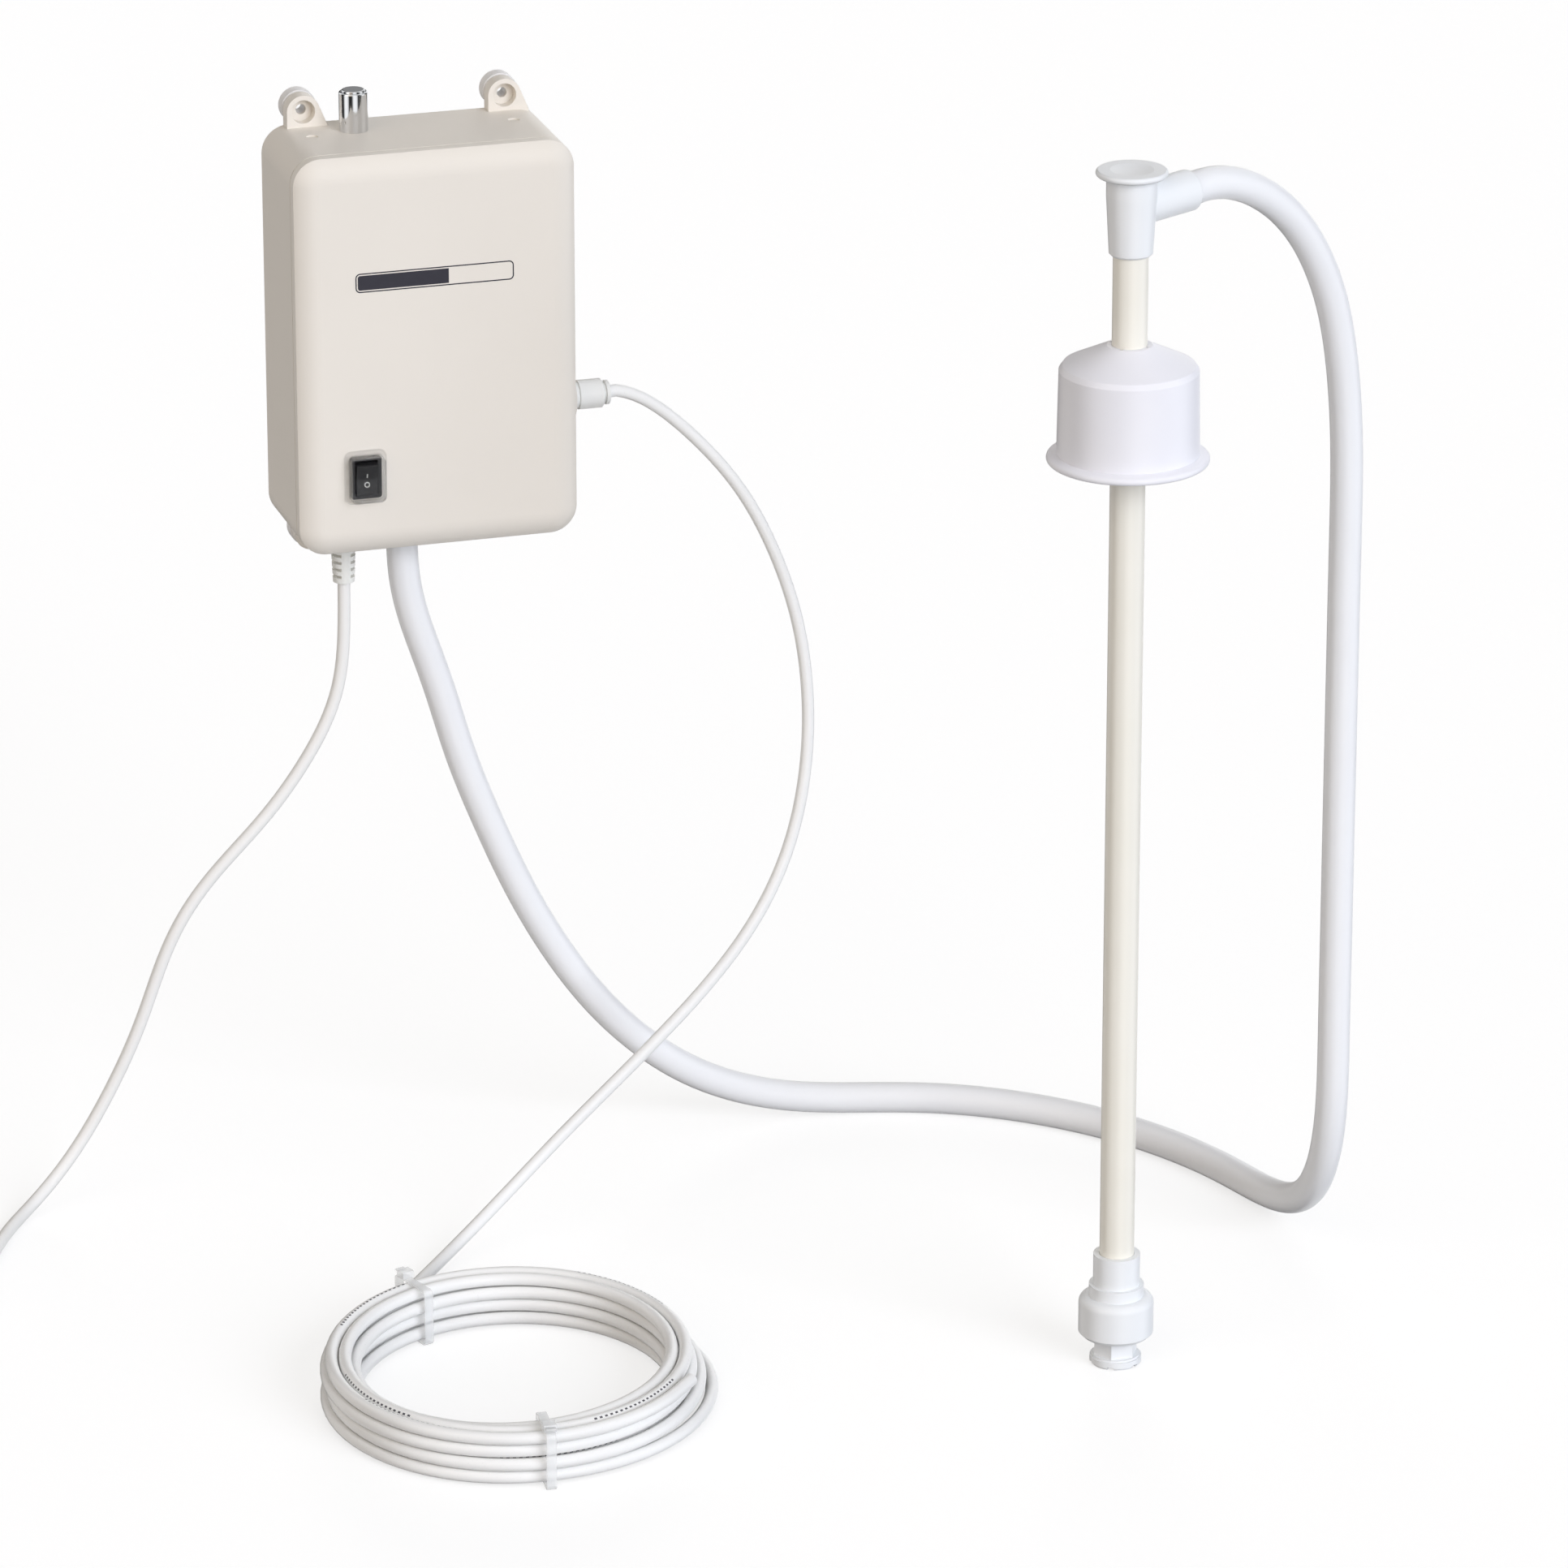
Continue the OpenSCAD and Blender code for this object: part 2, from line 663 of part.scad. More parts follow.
module rear_housing() color("#e8e2d4") {
  difference() {
    union() {
      difference() {
        facing_front(rear_y) linear_extrude(shell_d) rounded_rect(housing_w, housing_h, corner_r);
        facing_front(inner_y) linear_extrude(shell_d)
          rounded_rect(housing_w - 2 * wall, housing_h - 2 * wall, corner_r - wall);
      }
      at_wall_holes() facing_front(rear_y) linear_extrude(ear_t) ear_outline(hole_rise + wall / 2);
      at_cover_screws() facing_front(rear_y) cylinder(d = post_d, h = shell_d);
      facing_right(right_x - wall / 2, pump_y, outlet_z)
        rounded_disc(boss_d / 2, boss_h + wall / 2, boss_edge);
      at_each(board_points) facing_front(inner_y + 1) cylinder(d = standoff_d, h = standoff_h + 1);
    }
    at_wall_holes() facing_front(rear_y + 1) {
      cylinder(d = hole_d, h = ear_t + 2);
      translate([0, 0, ear_t + 1 - ear_bore_depth]) cylinder(d = ear_bore_d, h = ear_bore_depth + 1);
    }
    for (sx = [-1, 1]) translate([sx * ear_x, dimple_y, top_z - dimple_depth])
      cylinder(d = dimple_d, h = dimple_depth + 1);
    at_cover_screws() facing_front(rear_y + 1) {
      cylinder(d = screw_d + 2 * gap, h = shell_d + 2);
      cylinder(d = screw_head_d + 4 * gap, h = screw_recess + 1);
    }
    facing_right(right_x - wall - 1, pump_y, outlet_z)
      cylinder(d = fit_bore_d + 2 * seat, h = boss_h + wall + 2);
    translate([reset_x, reset_y, top_z - wall - 1]) cylinder(d = sleeve_neck_d + 2 * seat, h = wall + 2);
    translate([gland_x, pump_y, bottom_z - 1]) cylinder(d = gland_neck_d + 2 * seat, h = wall + 2);
    translate([hose_x, pump_y, bottom_z - 1])
      cylinder(d = hose_d + 2 * (grommet_lip + seat), h = wall + 2);
    at_each(foot_points) facing_front(rear_y + 1) cylinder(d = foot_stem_d + 2 * seat, h = wall + 2);
    at_each(board_points) facing_front(inner_y - 1) cylinder(d = board_screw_d + gap, h = standoff_h);
  }
}

// Section through the rounded edge of the cover, measured from the corner centre outward
module crown_profile() {
  square([corner_r - edge_blend, cover_d]);
  intersection() {
    translate([corner_r - edge_blend, 0]) square([edge_blend, cover_d]);
    translate([corner_r - edge_blend, cover_d - crown_r]) circle(crown_r);
  }
}

module crown_side(span, offset) {
  translate([offset, span / 2, 0]) rotate([90, 0, 0]) linear_extrude(span) crown_profile();
}

module cover_form() {
  mid_w = housing_w - 2 * corner_r;
  mid_h = housing_h - 2 * corner_r;
  translate([-mid_w / 2, -mid_h / 2, 0]) cube([mid_w, mid_h, cover_d]);
  for (a = [0, 180]) rotate(a) {
    crown_side(mid_h, mid_w / 2);
    rotate(90) crown_side(mid_w, mid_h / 2);
    translate([mid_w / 2, mid_h / 2, 0]) rotate_extrude(angle = 90) crown_profile();
    mirror([1, 0, 0]) translate([mid_w / 2, mid_h / 2, 0]) rotate_extrude(angle = 90) crown_profile();
  }
}

module front_cover() color("#f1ece1") {
  difference() {
    facing_front(seam_y) cover_form();
    facing_front(seam_y + 1) linear_extrude(seam_gap + 1) difference() {
      rounded_rect(housing_w + 2, housing_h + 2, corner_r + 1);
      rounded_rect(housing_w - 2 * seam_gap_d, housing_h - 2 * seam_gap_d, corner_r - seam_gap_d);
    }
    facing_front(seam_y + 1) linear_extrude(cover_d - wall + 1)
      rounded_rect(housing_w - 2 * (edge_blend + 1), housing_h - 2 * (edge_blend + 1), 4);
    translate([switch_x, 0, switch_z]) facing_front(seam_y + 1) linear_extrude(cover_d + 2)
      rounded_rect(switch_neck_w + 2 * gap, switch_neck_h + 2 * gap, 1.5);
    at_cover_screws() facing_front(seam_y + 1) cylinder(d = screw_d - gap, h = screw_bite + 1.5);
  }
}

module cover_screws() color("silver") {
  shank = shell_d - screw_recess + screw_bite;
  at_cover_screws() translate([0, rear_y - screw_recess - shank, 0]) rotate([-90, 0, 0])
    pan_screw(screw_d - 2 * gap, shank, screw_head_d, 2.2);
}

module wall_isolators() color("#c9c9c4") {
  at_wall_holes() facing_front(0) difference() {
    rotate_extrude() {
      square([isolator_d / 2, isolator_h - 1]);
      square([isolator_d / 2 - 1, isolator_h]);
    }
    translate([0, 0, -1]) cylinder(d = hole_d, h = isolator_h + 2);
  }
}

// The switch draws in its own frame: x across, y up, z toward the front, at the bezel's front plane
module at_switch() {
  translate([switch_x, 0, switch_z]) facing_front(bezel_y) children();
}

module switch_body() color("#2a2a2c") {
  at_switch() difference() {
    union() {
      translate([0, 0, -bezel_t]) linear_extrude(bezel_t) rounded_rect(bezel_w, bezel_h, bezel_corner);
      translate([0, 0, -bezel_t - switch_body_d]) linear_extrude(switch_body_d)
        rounded_rect(switch_neck_w, switch_neck_h, 1.2);
      for (z = [-7, 0, 7]) translate([-tab_w / 2, z - tab_t / 2, -bezel_t - switch_body_d - tab_len])
        cube([tab_w, tab_t, tab_len + 0.5]);
    }
    translate([-window_w / 2, -window_h / 2, -pivot_depth - rocker_belly - 2.5])
      cube([window_w, window_h, pivot_depth + rocker_belly + 4]);
    translate([-window_w / 2 - pivot_bite - gap, 0, -pivot_depth]) rotate([0, 90, 0])
      cylinder(r = pivot_r + slip, h = window_w + 2 * (pivot_bite + gap));
  }
}

module switch_rocker() color("#141416") {
  at_switch() translate([0, 0, -pivot_depth]) rotate([rocker_tilt, 0, 0]) {
    rotate([90, 0, 90]) translate([0, 0, -rocker_w / 2]) linear_extrude(rocker_w) polygon([
      [-rocker_h / 2, rocker_rise + pivot_depth], [0, rocker_rise + pivot_depth - rocker_dish],
      [rocker_h / 2, rocker_rise + pivot_depth], [rocker_h / 2, 0],
      [rocker_h / 5, -rocker_belly], [-rocker_h / 5, -rocker_belly], [-rocker_h / 2, 0]
    ]);
    translate([-window_w / 2 - pivot_bite, 0, 0]) rotate([0, 90, 0])
      cylinder(r = pivot_r, h = window_w + 2 * pivot_bite);
  }
}

module switch_boot() color("#e6e6e2", 0.6) {
  room = [bezel_w + 2 * boot_play, bezel_h + 2 * boot_play];
  dome = room + 2 * [boot_wall, boot_wall];
  flange = dome + 2 * [boot_flange, boot_flange];
  dome_r = bezel_corner + boot_play + boot_wall;
  at_switch() translate([0, 0, -bezel_t]) difference() {
    union() {
      linear_extrude(boot_flange_t) rounded_rect(flange[0], flange[1], dome_r + boot_flange / 2);
      linear_extrude(bezel_t + boot_room + boot_wall) rounded_rect(dome[0], dome[1], dome_r);
    }
    translate([0, 0, -1]) linear_extrude(bezel_t + boot_room + 1)
      rounded_rect(room[0], room[1], dome_r - boot_wall);
  }
}

module reset_sleeve() color("#c8ccd0") {
  translate([reset_x, reset_y, 0]) difference() {
    union() {
      translate([0, 0, top_z]) rounded_disc(reset_d / 2, reset_h - plunger_proud, 0.8);
      translate([0, 0, top_z - wall - sleeve_drop]) cylinder(d = sleeve_neck_d, h = wall + sleeve_drop + 1);
    }
    translate([0, 0, sleeve_floor_z]) cylinder(r = plunger_d / 2 + slip, h = reset_h);
    translate([0, 0, top_z - wall - sleeve_drop - 1]) cylinder(d = plunger_d - 4, h = wall + reset_h);
  }
}

module reset_plunger() color("#d4d7da") {
  stem_z = top_z - wall - sleeve_drop + stem_gap;
  translate([reset_x, reset_y, 0]) {
    translate([0, 0, plunger_z]) rounded_disc(plunger_d / 2, top_z + reset_h - plunger_z, 0.6);
    translate([0, 0, stem_z]) cylinder(d = plunger_stem_d, h = plunger_z - stem_z + 1);
  }
}

module reset_spring() color("gray") {
  translate([reset_x, reset_y, sleeve_floor_z + seat])
    spring_wire_form(plunger_d / 2 - spring_wire, spring_wire, 4, plunger_z - sleeve_floor_z - 2 * seat);
}

module breaker_body() color("#2f2f33") {
  translate([reset_x, reset_y, top_z - wall - sleeve_drop - breaker_h]) {
    difference() {
      translate([-breaker_w / 2, -breaker_d / 2, 0]) cube([breaker_w, breaker_d, breaker_h]);
      translate([0, 0, breaker_h - reset_travel - 1])
        cylinder(d = plunger_stem_d + 4 * gap, h = reset_travel + 2);
    }
    for (x = [-6, 6]) translate([x - tab_t / 2, -tab_w / 2, -tab_len]) cube([tab_t, tab_w, tab_len + 0.5]);
  }
}

module outlet_fitting() color("#f2f2ee") {
  inner_len = 9;
  facing_right(0, pump_y, outlet_z) difference() {
    union() {
      translate([0, 0, boss_x]) rounded_disc(collar_d / 2, collar_len, 1);
      translate([0, 0, right_x - wall]) cylinder(d = fit_bore_d, h = boss_h + wall + 0.5);
      translate([0, 0, right_x - wall - 2.5]) cylinder(d = fit_bore_d + 7, h = 2.5, $fn = 6);
      translate([0, 0, right_x - wall - inner_len]) cylinder(r = port_r, h = inner_len);
    }
    translate([0, 0, right_x - wall - inner_len - 1])
      cylinder(r = tube_r - 1, h = collar_len + boss_h + wall + inner_len + 2);
    translate([0, 0, tube_stop_x]) cylinder(r = tube_r + seat, h = boss_h + collar_len);
    translate([0, 0, ring_x - gap]) cylinder(r = tube_r + ring_t + seat, h = collar_len + boss_h);
    translate([0, 0, boss_x + 1.5]) ring(collar_d, collar_d / 2 - 0.8, 1.2);
  }
}

module outlet_collet() color("#fafaf7") {
  stem_x = ring_x + ring_t + collet_travel + 0.4;
  facing_right(0, pump_y, outlet_z) difference() {
    union() {
      translate([0, 0, collet_x]) rounded_disc(collet_flange_d / 2, collet_flange_t, 0.5);
      translate([0, 0, stem_x]) cylinder(r = tube_r + ring_t, h = collet_x - stem_x + 0.5);
    }
    translate([0, 0, stem_x - 1]) cylinder(r = tube_r + seat, h = collet_x - stem_x + collet_flange_t + 2);
  }
}

module outlet_o_ring() color("black") {
  facing_right(ring_x, pump_y, outlet_z) rotate_extrude()
    translate([tube_r + ring_t / 2 + seat / 2, ring_t / 2 - gap / 2]) circle(ring_t / 2 - seat / 2);
}

module outlet_link() color("#d8d8d0") {
  facing_right(pump_x + head_r + 0.5, pump_y, outlet_z) ring(port_r + 2, port_r + seat, port_room - 3.5);
}

module cord_gland() color("#f4f4f0") {
  slot_h = 1.6;
  row_step = (gland_len - 6) / gland_rows;
  translate([gland_x, pump_y, bottom_z]) difference() {
    union() {
      translate([0, 0, -gland_len]) cylinder(d1 = gland_d - 2.2, d2 = gland_d, h = gland_len);
      translate([0, 0, -2.6]) cylinder(d = gland_flange_d, h = 2.6);
      cylinder(d = gland_neck_d, h = wall + 1);
      translate([0, 0, wall + seat]) cylinder(d = gland_neck_d + 2, h = 2.5);
    }
    translate([0, 0, -gland_len - 1]) cylinder(r = cord_r + seat, h = gland_len + wall + 6);
    for (i = [0:gland_rows - 1]) translate([0, 0, -4.4 - (i + 0.5) * row_step])
      for (s = [-1, 1]) translate([s * gland_rib / 2 + (s < 0 ? -gland_d : 0), -gland_d / 2, -slot_h / 2])
        cube([gland_d, gland_d, slot_h]);
  }
}

module hose_grommet() color("#3a3a3c") {
  outer_r = hose_r + grommet_lip;
  translate([hose_x, pump_y, bottom_z]) difference() {
    union() {
      translate([0, 0, -grommet_lip_t]) cylinder(d = grommet_d, h = grommet_lip_t);
      cylinder(r = outer_r, h = wall);
      translate([0, 0, wall]) cylinder(r = outer_r + 1.5, h = grommet_lip_t);
    }
    translate([0, 0, -grommet_lip_t - 1]) cylinder(r = hose_r + seat, h = wall + 2 * grommet_lip_t + 2);
  }
}

module inlet_elbow() color("#e0e0da") {
  leg_r = port_r + 2.4;
  mouth_x = pump_x - head_r - 0.5;
  translate([hose_x, pump_y, outlet_z]) difference() {
    union() {
      sphere(r = leg_r);
      rotate([0, 90, 0]) cylinder(r = leg_r, h = mouth_x - hose_x);
      translate([0, 0, elbow_end_z - outlet_z]) cylinder(r = leg_r, h = outlet_z - elbow_end_z);
      translate([0, 0, elbow_end_z - outlet_z]) cylinder(r = hose_r, h = 4);
    }
    translate([mouth_x - hose_x - port_len - 0.5, 0, 0]) rotate([0, 90, 0])
      cylinder(r = port_r + seat, h = port_len + 2);
    rotate([0, 90, 0]) cylinder(r = port_r - 1.2, h = mouth_x - hose_x);
    sphere(r = port_r - 1.2);
    translate([0, 0, elbow_end_z - outlet_z - 1]) cylinder(r = port_r - 1.2, h = outlet_z - elbow_end_z + 1);
  }
}

module pump_bracket() color("#b9bcc0") {
  cradle_d = 8;
  cradle_w = can_d - 12;
  cradle_y = pump_y + can_r * 0.6;
  difference() {
    union() {
      translate([pump_x - bracket_half_w, bracket_y - bracket_t, bracket_bottom])
        cube([2 * bracket_half_w, bracket_t, bracket_top - bracket_bottom]);
      for (z = [drive_top + 4, bracket_top - cradle_d - 16])
        translate([pump_x - cradle_w / 2, cradle_y, z])
          cube([cradle_w, bracket_y - bracket_t - cradle_y + 0.5, cradle_d]);
    }
    translate([pump_x, pump_y, drive_top - 1]) cylinder(r = can_r + seat, h = can_len);
    translate([pump_x, pump_y, bracket_bottom - 1])
      cylinder(r = head_r + seat, h = drive_top - bracket_bottom + 2);
    at_each(foot_points) facing_front(bracket_y + 1)
      cylinder(d = foot_stem_d + 2 * seat, h = bracket_t + 2);
  }
}

module pump_feet() color("#1d1d1f") {
  stem_len = wall + foot_pad_h + bracket_t + 2 * foot_head_t;
  at_each(foot_points) {
    facing_front(inner_y) cylinder(d = foot_pad_d, h = foot_pad_h);
    facing_front(rear_y + foot_head_t) cylinder(d = foot_stem_d, h = stem_len);
    facing_front(rear_y + foot_head_t) cylinder(d = foot_head_d, h = foot_head_t);
    facing_front(bracket_y - bracket_t) cylinder(d = foot_head_d, h = foot_head_t);
  }
}

module motor_strap() color("#a7aab0") {
  strap_r = can_r + seat;
  translate([pump_x, pump_y, strap_z]) difference() {
    union() {
      cylinder(r = strap_r + strap_t, h = strap_h);
      translate([-strap_r - strap_t, 0, 0])
        cube([2 * (strap_r + strap_t), bracket_y - bracket_t - pump_y, strap_h]);
    }
    translate([0, 0, -1]) cylinder(r = strap_r, h = strap_h + 2);
    translate([-strap_r, 0, -1]) cube([2 * strap_r, bracket_y - pump_y, strap_h + 2]);
  }
}

module at_pump() {
  translate([pump_x, pump_y, 0]) children();
}

module motor_can() color("#8d9299") {
  at_pump() translate([0, 0, drive_top]) difference() {
    cylinder(r = can_r, h = can_len);
    translate([0, 0, can_wall]) cylinder(r = can_r - can_wall, h = can_len);
    translate([0, 0, -1]) cylinder(r = shaft_r + 2, h = can_wall + 2);
  }
}

module motor_end_bell() color("#26282b") {
  box_h = can_top - brush_z + brush_h / 2 + 1.5;
  at_pump() difference() {
    union() {
      translate([0, 0, can_top]) rounded_disc(can_r, bell_h, 2);
      translate([0, 0, can_top - box_h]) intersection() {
        cylinder(r = magnet_r, h = box_h + 1);
        for (s = [0, 180]) rotate(s) translate([-brush_w / 2 - 2, commutator_r + 3, 0])
          cube([brush_w + 4, can_r, box_h + 1]);
      }
    }
    translate([0, 0, can_top + bell_h - bell_t - bearing_h])
      cylinder(d = bearing_d + 2 * seat, h = bearing_h);
    translate([0, 0, can_top - 1]) cylinder(r = shaft_r + 2.5, h = bell_h - bell_t - bearing_h + 2);
    for (s = [0, 180]) rotate(s) translate([-brush_w / 2 - seat, commutator_r, brush_z - brush_h / 2 - seat])
      cube([brush_w + 2 * seat, can_r - commutator_r - can_wall - 1.5, brush_h + 2 * seat]);
  }
}

module motor_magnets() color("#4a4a4c") {
  at_pump() translate([0, 0, core_bottom - 3]) difference() {
    ring(magnet_r, magnet_r - magnet_t, core_top - core_bottom + 6);
    translate([-can_r, -7, -1]) cube([can_d, 14, core_top - core_bottom + 8]);
  }
}

module motor_brushes() color("#3c3a38") {
  at_pump() for (s = [0, 180]) rotate(s)
    translate([-brush_w / 2, commutator_r + slip, brush_z - brush_h / 2])
      cube([brush_w, can_r - commutator_r - can_wall - 2, brush_h]);
}

module armature() color("#b5793f") {
  slots = 8;
  at_pump() {
    difference() {
      translate([0, 0, core_bottom]) cylinder(r = core_r, h = core_top - core_bottom);
      for (i = [0:slots - 1]) rotate(360 / slots * (i + 0.5))
        translate([core_r - 4, -1.2, core_bottom - 1]) cube([6, 2.4, core_top - core_bottom + 2]);
    }
    translate([0, 0, core_bottom - 5]) cylinder(r = core_r - 5, h = core_top - core_bottom + 9);
    translate([0, 0, commutator_top - commutator_h]) cylinder(r = commutator_r, h = commutator_h);
    translate([0, 0, cam_bottom]) cylinder(r = shaft_r, h = can_top + bell_h - bell_t - 0.5 - cam_bottom);
  }
}

module motor_bearings() color("#c9ced4") {
  at_pump() for (z = [drive_top - bearing_h, can_top + bell_h - bell_t - bearing_h])
    translate([0, 0, z]) ring(bearing_d / 2, shaft_r + slip, bearing_h);
}

module drive_cam() color("#7d8288") {
  at_pump() difference() {
    union() {
      translate([cam_throw, 0, cam_bottom]) cylinder(r = cam_r, h = cam_top - cam_bottom - 2);
      translate([0, 0, cam_top - 2]) cylinder(r = cam_r + cam_throw + 1, h = 2);
    }
    translate([0, 0, cam_bottom - 1]) cylinder(r = shaft_r + slip / 5, h = cam_top - cam_bottom + 2);
  }
}

module cam_bearing() color("#d0d4d8") {
  at_pump() translate([0, 0, wobble_top]) ring(cam_bearing_r, cam_bearing_bore_r, cam_bearing_h);
}

module at_flaps() {
  for (a = [90, 210, 330]) rotate(a) translate([flap_ring_r, 0, 0]) children();
}

module wobble_plate() color("#d9d4c6") {
  hub_wall = 1.6;
  at_pump() {
    translate([0, 0, wobble_bottom]) cylinder(r = wobble_r, h = wobble_t);
    translate([0, 0, wobble_top])
      ring(cam_bearing_r + seat + hub_wall, cam_bearing_r + seat, cam_bearing_h);
    at_flaps() translate([0, 0, drive_bottom]) cylinder(d = flap_d, h = wobble_pad_h + 1);
  }
}

module at_head_bolts() {
  for (i = [0:bolt_count - 1]) rotate(360 / bolt_count * i + 30) translate([bolt_r, 0, 0]) children();
}

module pump_housing() color("#33363a") {
  roof = bearing_h + 3;
  at_pump() translate([0, 0, drive_bottom]) difference() {
    cylinder(r = head_r, h = drive_h);
    translate([0, 0, -1]) cylinder(r = drive_bore_r, h = drive_h - roof + 1);
    translate([0, 0, drive_h - bearing_h]) cylinder(d = bearing_d + 2 * seat, h = bearing_h + 1);
    translate([0, 0, drive_h - roof - 1]) cylinder(r = cam_r + cam_throw + 2, h = roof);
    at_head_bolts() translate([0, 0, -1]) cylinder(d = screw_d - 0.2, h = 13);
  }
}

module diaphragm() color("#202022") {
  at_pump() translate([0, 0, plate_top]) difference() {
    cylinder(r = head_r, h = diaphragm_t);
    at_flaps() translate([0, 0, diaphragm_t - 0.5]) ring(flap_d / 2 + 1.6, flap_d / 2 + 0.4, 1);
    at_head_bolts() translate([0, 0, -1]) cylinder(d = screw_d + 2 * gap, h = diaphragm_t + 2);
  }
}

module valve_plate() color("#eceae0") {
  at_pump() translate([0, 0, head_top]) difference() {
    cylinder(r = head_r, h = valve_plate_t);
    at_flaps() {
      translate([0, 0, valve_plate_t - 1]) cylinder(d = flap_d + 2 * gap, h = 2);
      for (b = [0:90:270]) rotate(b) translate([2.8, 0, -1]) cylinder(d = 2, h = valve_plate_t + 2);
    }
    translate([0, 0, -1]) cylinder(d = flap_d + 2 * gap, h = 2);
    for (b = [0:60:300]) rotate(b) translate([3, 0, -1]) cylinder(d = 2, h = valve_plate_t + 2);
    at_head_bolts() translate([0, 0, -1]) cylinder(d = screw_d + 2 * gap, h = valve_plate_t + 2);
  }
}

module valve_flaps() color("#1b1b1c") {
  at_pump() {
    at_flaps() translate([0, 0, plate_top - 1]) cylinder(d = flap_d, h = flap_t);
    translate([0, 0, head_top + 1 - flap_t]) cylinder(d = flap_d, h = flap_t);
  }
}

module pump_head() color("#3d4045") {
  core_h = head_h * 0.6;
  at_pump() difference() {
    union() {
      translate([0, 0, head_bottom]) cylinder(r = head_r, h = head_h);
      facing_right(-head_r - port_len, 0, outlet_z) cylinder(r = port_r, h = head_d + 2 * port_len);
    }
    translate([0, 0, head_top - core_h]) cylinder(r = flap_d / 2 + 1.5, h = core_h + 1);
    translate([0, 0, head_top - core_h]) ring(drive_bore_r - 2, flap_d / 2 + 3.5, core_h + 1);
    facing_right(0, 0, outlet_z) cylinder(r = port_r - 1.2, h = head_r + port_len + 1);
    facing_right(-head_r - port_len - 1, 0, outlet_z)
      cylinder(r = port_r - 1.2, h = head_r + port_len - flap_d / 2 - 3);
    at_head_bolts() translate([0, 0, head_bottom - 1]) cylinder(d = screw_d + 2 * gap, h = head_h + 2);
    translate([0, 0, head_bottom - 1]) cylinder(d = sensor_stem_d, h = head_h);
  }
  at_pump() difference() {
    facing_right(flap_d / 2 + 1.5, 0, outlet_z) cylinder(r = port_r, h = drive_bore_r - flap_d / 2 - 1.5);
    facing_right(0, 0, outlet_z) cylinder(r = port_r - 1.2, h = head_r);
  }
}

module head_screws() color("silver") {
  length = head_h + valve_plate_t + diaphragm_t + 10;
  at_pump() at_head_bolts() translate([0, 0, head_bottom + length]) mirror([0, 0, 1])
    pan_screw(screw_d - 0.4, length, screw_head_d, 2.4);
}

module pressure_switch() color("#5b3a22") {
  at_pump() translate([0, 0, head_bottom]) {
    translate([0, 0, -sensor_h]) cylinder(d = sensor_d, h = sensor_h);
    cylinder(d = sensor_stem_d - 2 * seat, h = 4);
    for (x = [-4, 4]) translate([x - tab_t / 2, -tab_w / 2, -sensor_h - tab_len + 1])
      cube([tab_t, tab_w, tab_len]);
  }
}

module circuit_board() color("#2f6b3c") {
  face_y = inner_y - standoff_h;
  difference() {
    translate([board_x, 0, board_z]) facing_front(face_y)
      translate([-board_w / 2, -board_h / 2, 0]) cube([board_w, board_h, board_t]);
    at_each(board_points) facing_front(face_y + 1) cylinder(d = board_screw_d + 1, h = board_t + 2);
  }
  translate([board_x, 0, board_z]) facing_front(face_y - board_t) {
    translate([-8, 12, 0]) cylinder(d = capacitor_d, h = capacitor_h);
    translate([3, -6, 0]) cube(relay);
    translate([-18, -22, 0]) cube(rectifier);
    translate([6, -26, 0]) cube(terminal);
  }
}

module board_screws() color("silver") {
  bite = 3;
  at_each(board_points) facing_front(inner_y - standoff_h + bite)
    pan_screw(board_screw_d, board_t + bite, 2.6 * board_screw_d, 1.6);
}

module at_wand(h) {
  translate([wand_x, wand_y, floor_z + h]) children();
}

module wand_head() color("#f3efe4") {
  at_wand(wand_head_bottom) difference() {
    union() {
      rotate_extrude() polygon([
        [0, 0], [wand_head_low_r - 1, 0], [wand_head_low_r, 1],
        [wand_head_d / 2, wand_head_h - 9], [wand_head_d / 2, wand_head_h], [0, wand_head_h]
      ]);
      translate([0, 0, socket_h - wand_head_bottom]) rotate([0, 0, socket_turn]) rotate([0, 90, 0])
        cylinder(d = socket_d, h = socket_len);
    }
    translate([0, 0, -1]) cylinder(r = wand_r + seat, h = tube_insert + 1);
    cylinder(d = wand_bore - 1, h = wand_head_h + 1);
    translate([0, 0, wand_head_h - plug_neck_h - 1]) cylinder(d = wand_bore + 2, h = plug_neck_h + 2);
    translate([0, 0, socket_h - wand_head_bottom]) rotate([0, 0, socket_turn]) rotate([0, 90, 0]) {
      cylinder(d = 10, h = socket_len);
      translate([0, 0, socket_len - socket_depth]) cylinder(r = hose_r + seat, h = socket_depth + 1);
    }
  }
}

module wand_plug() color("#f6f3ea") {
  at_wand(wand_head_top) difference() {
    union() {
      translate([0, 0, plug_groove]) rotate_extrude() {
        square([plug_disc_d / 2 - 1, disc_t]);
        translate([plug_disc_d / 2 - 1.5, disc_t / 2]) circle(disc_t / 2);
      }
      cylinder(d = wand_head_d - 3, h = plug_groove + 1);
      translate([0, 0, -plug_neck_h]) cylinder(d = wand_bore + 2 - 2 * seat, h = plug_neck_h + 1);
    }
    translate([0, 0, plug_groove + disc_t + plug_dish_r]) sphere(r = plug_dish_r + plug_dish);
  }
}

module suction_tube() color("#efe9da") {
  at_wand(wand_seat_h) ring(wand_r, wand_bore / 2, suction_top - wand_seat_h);
}

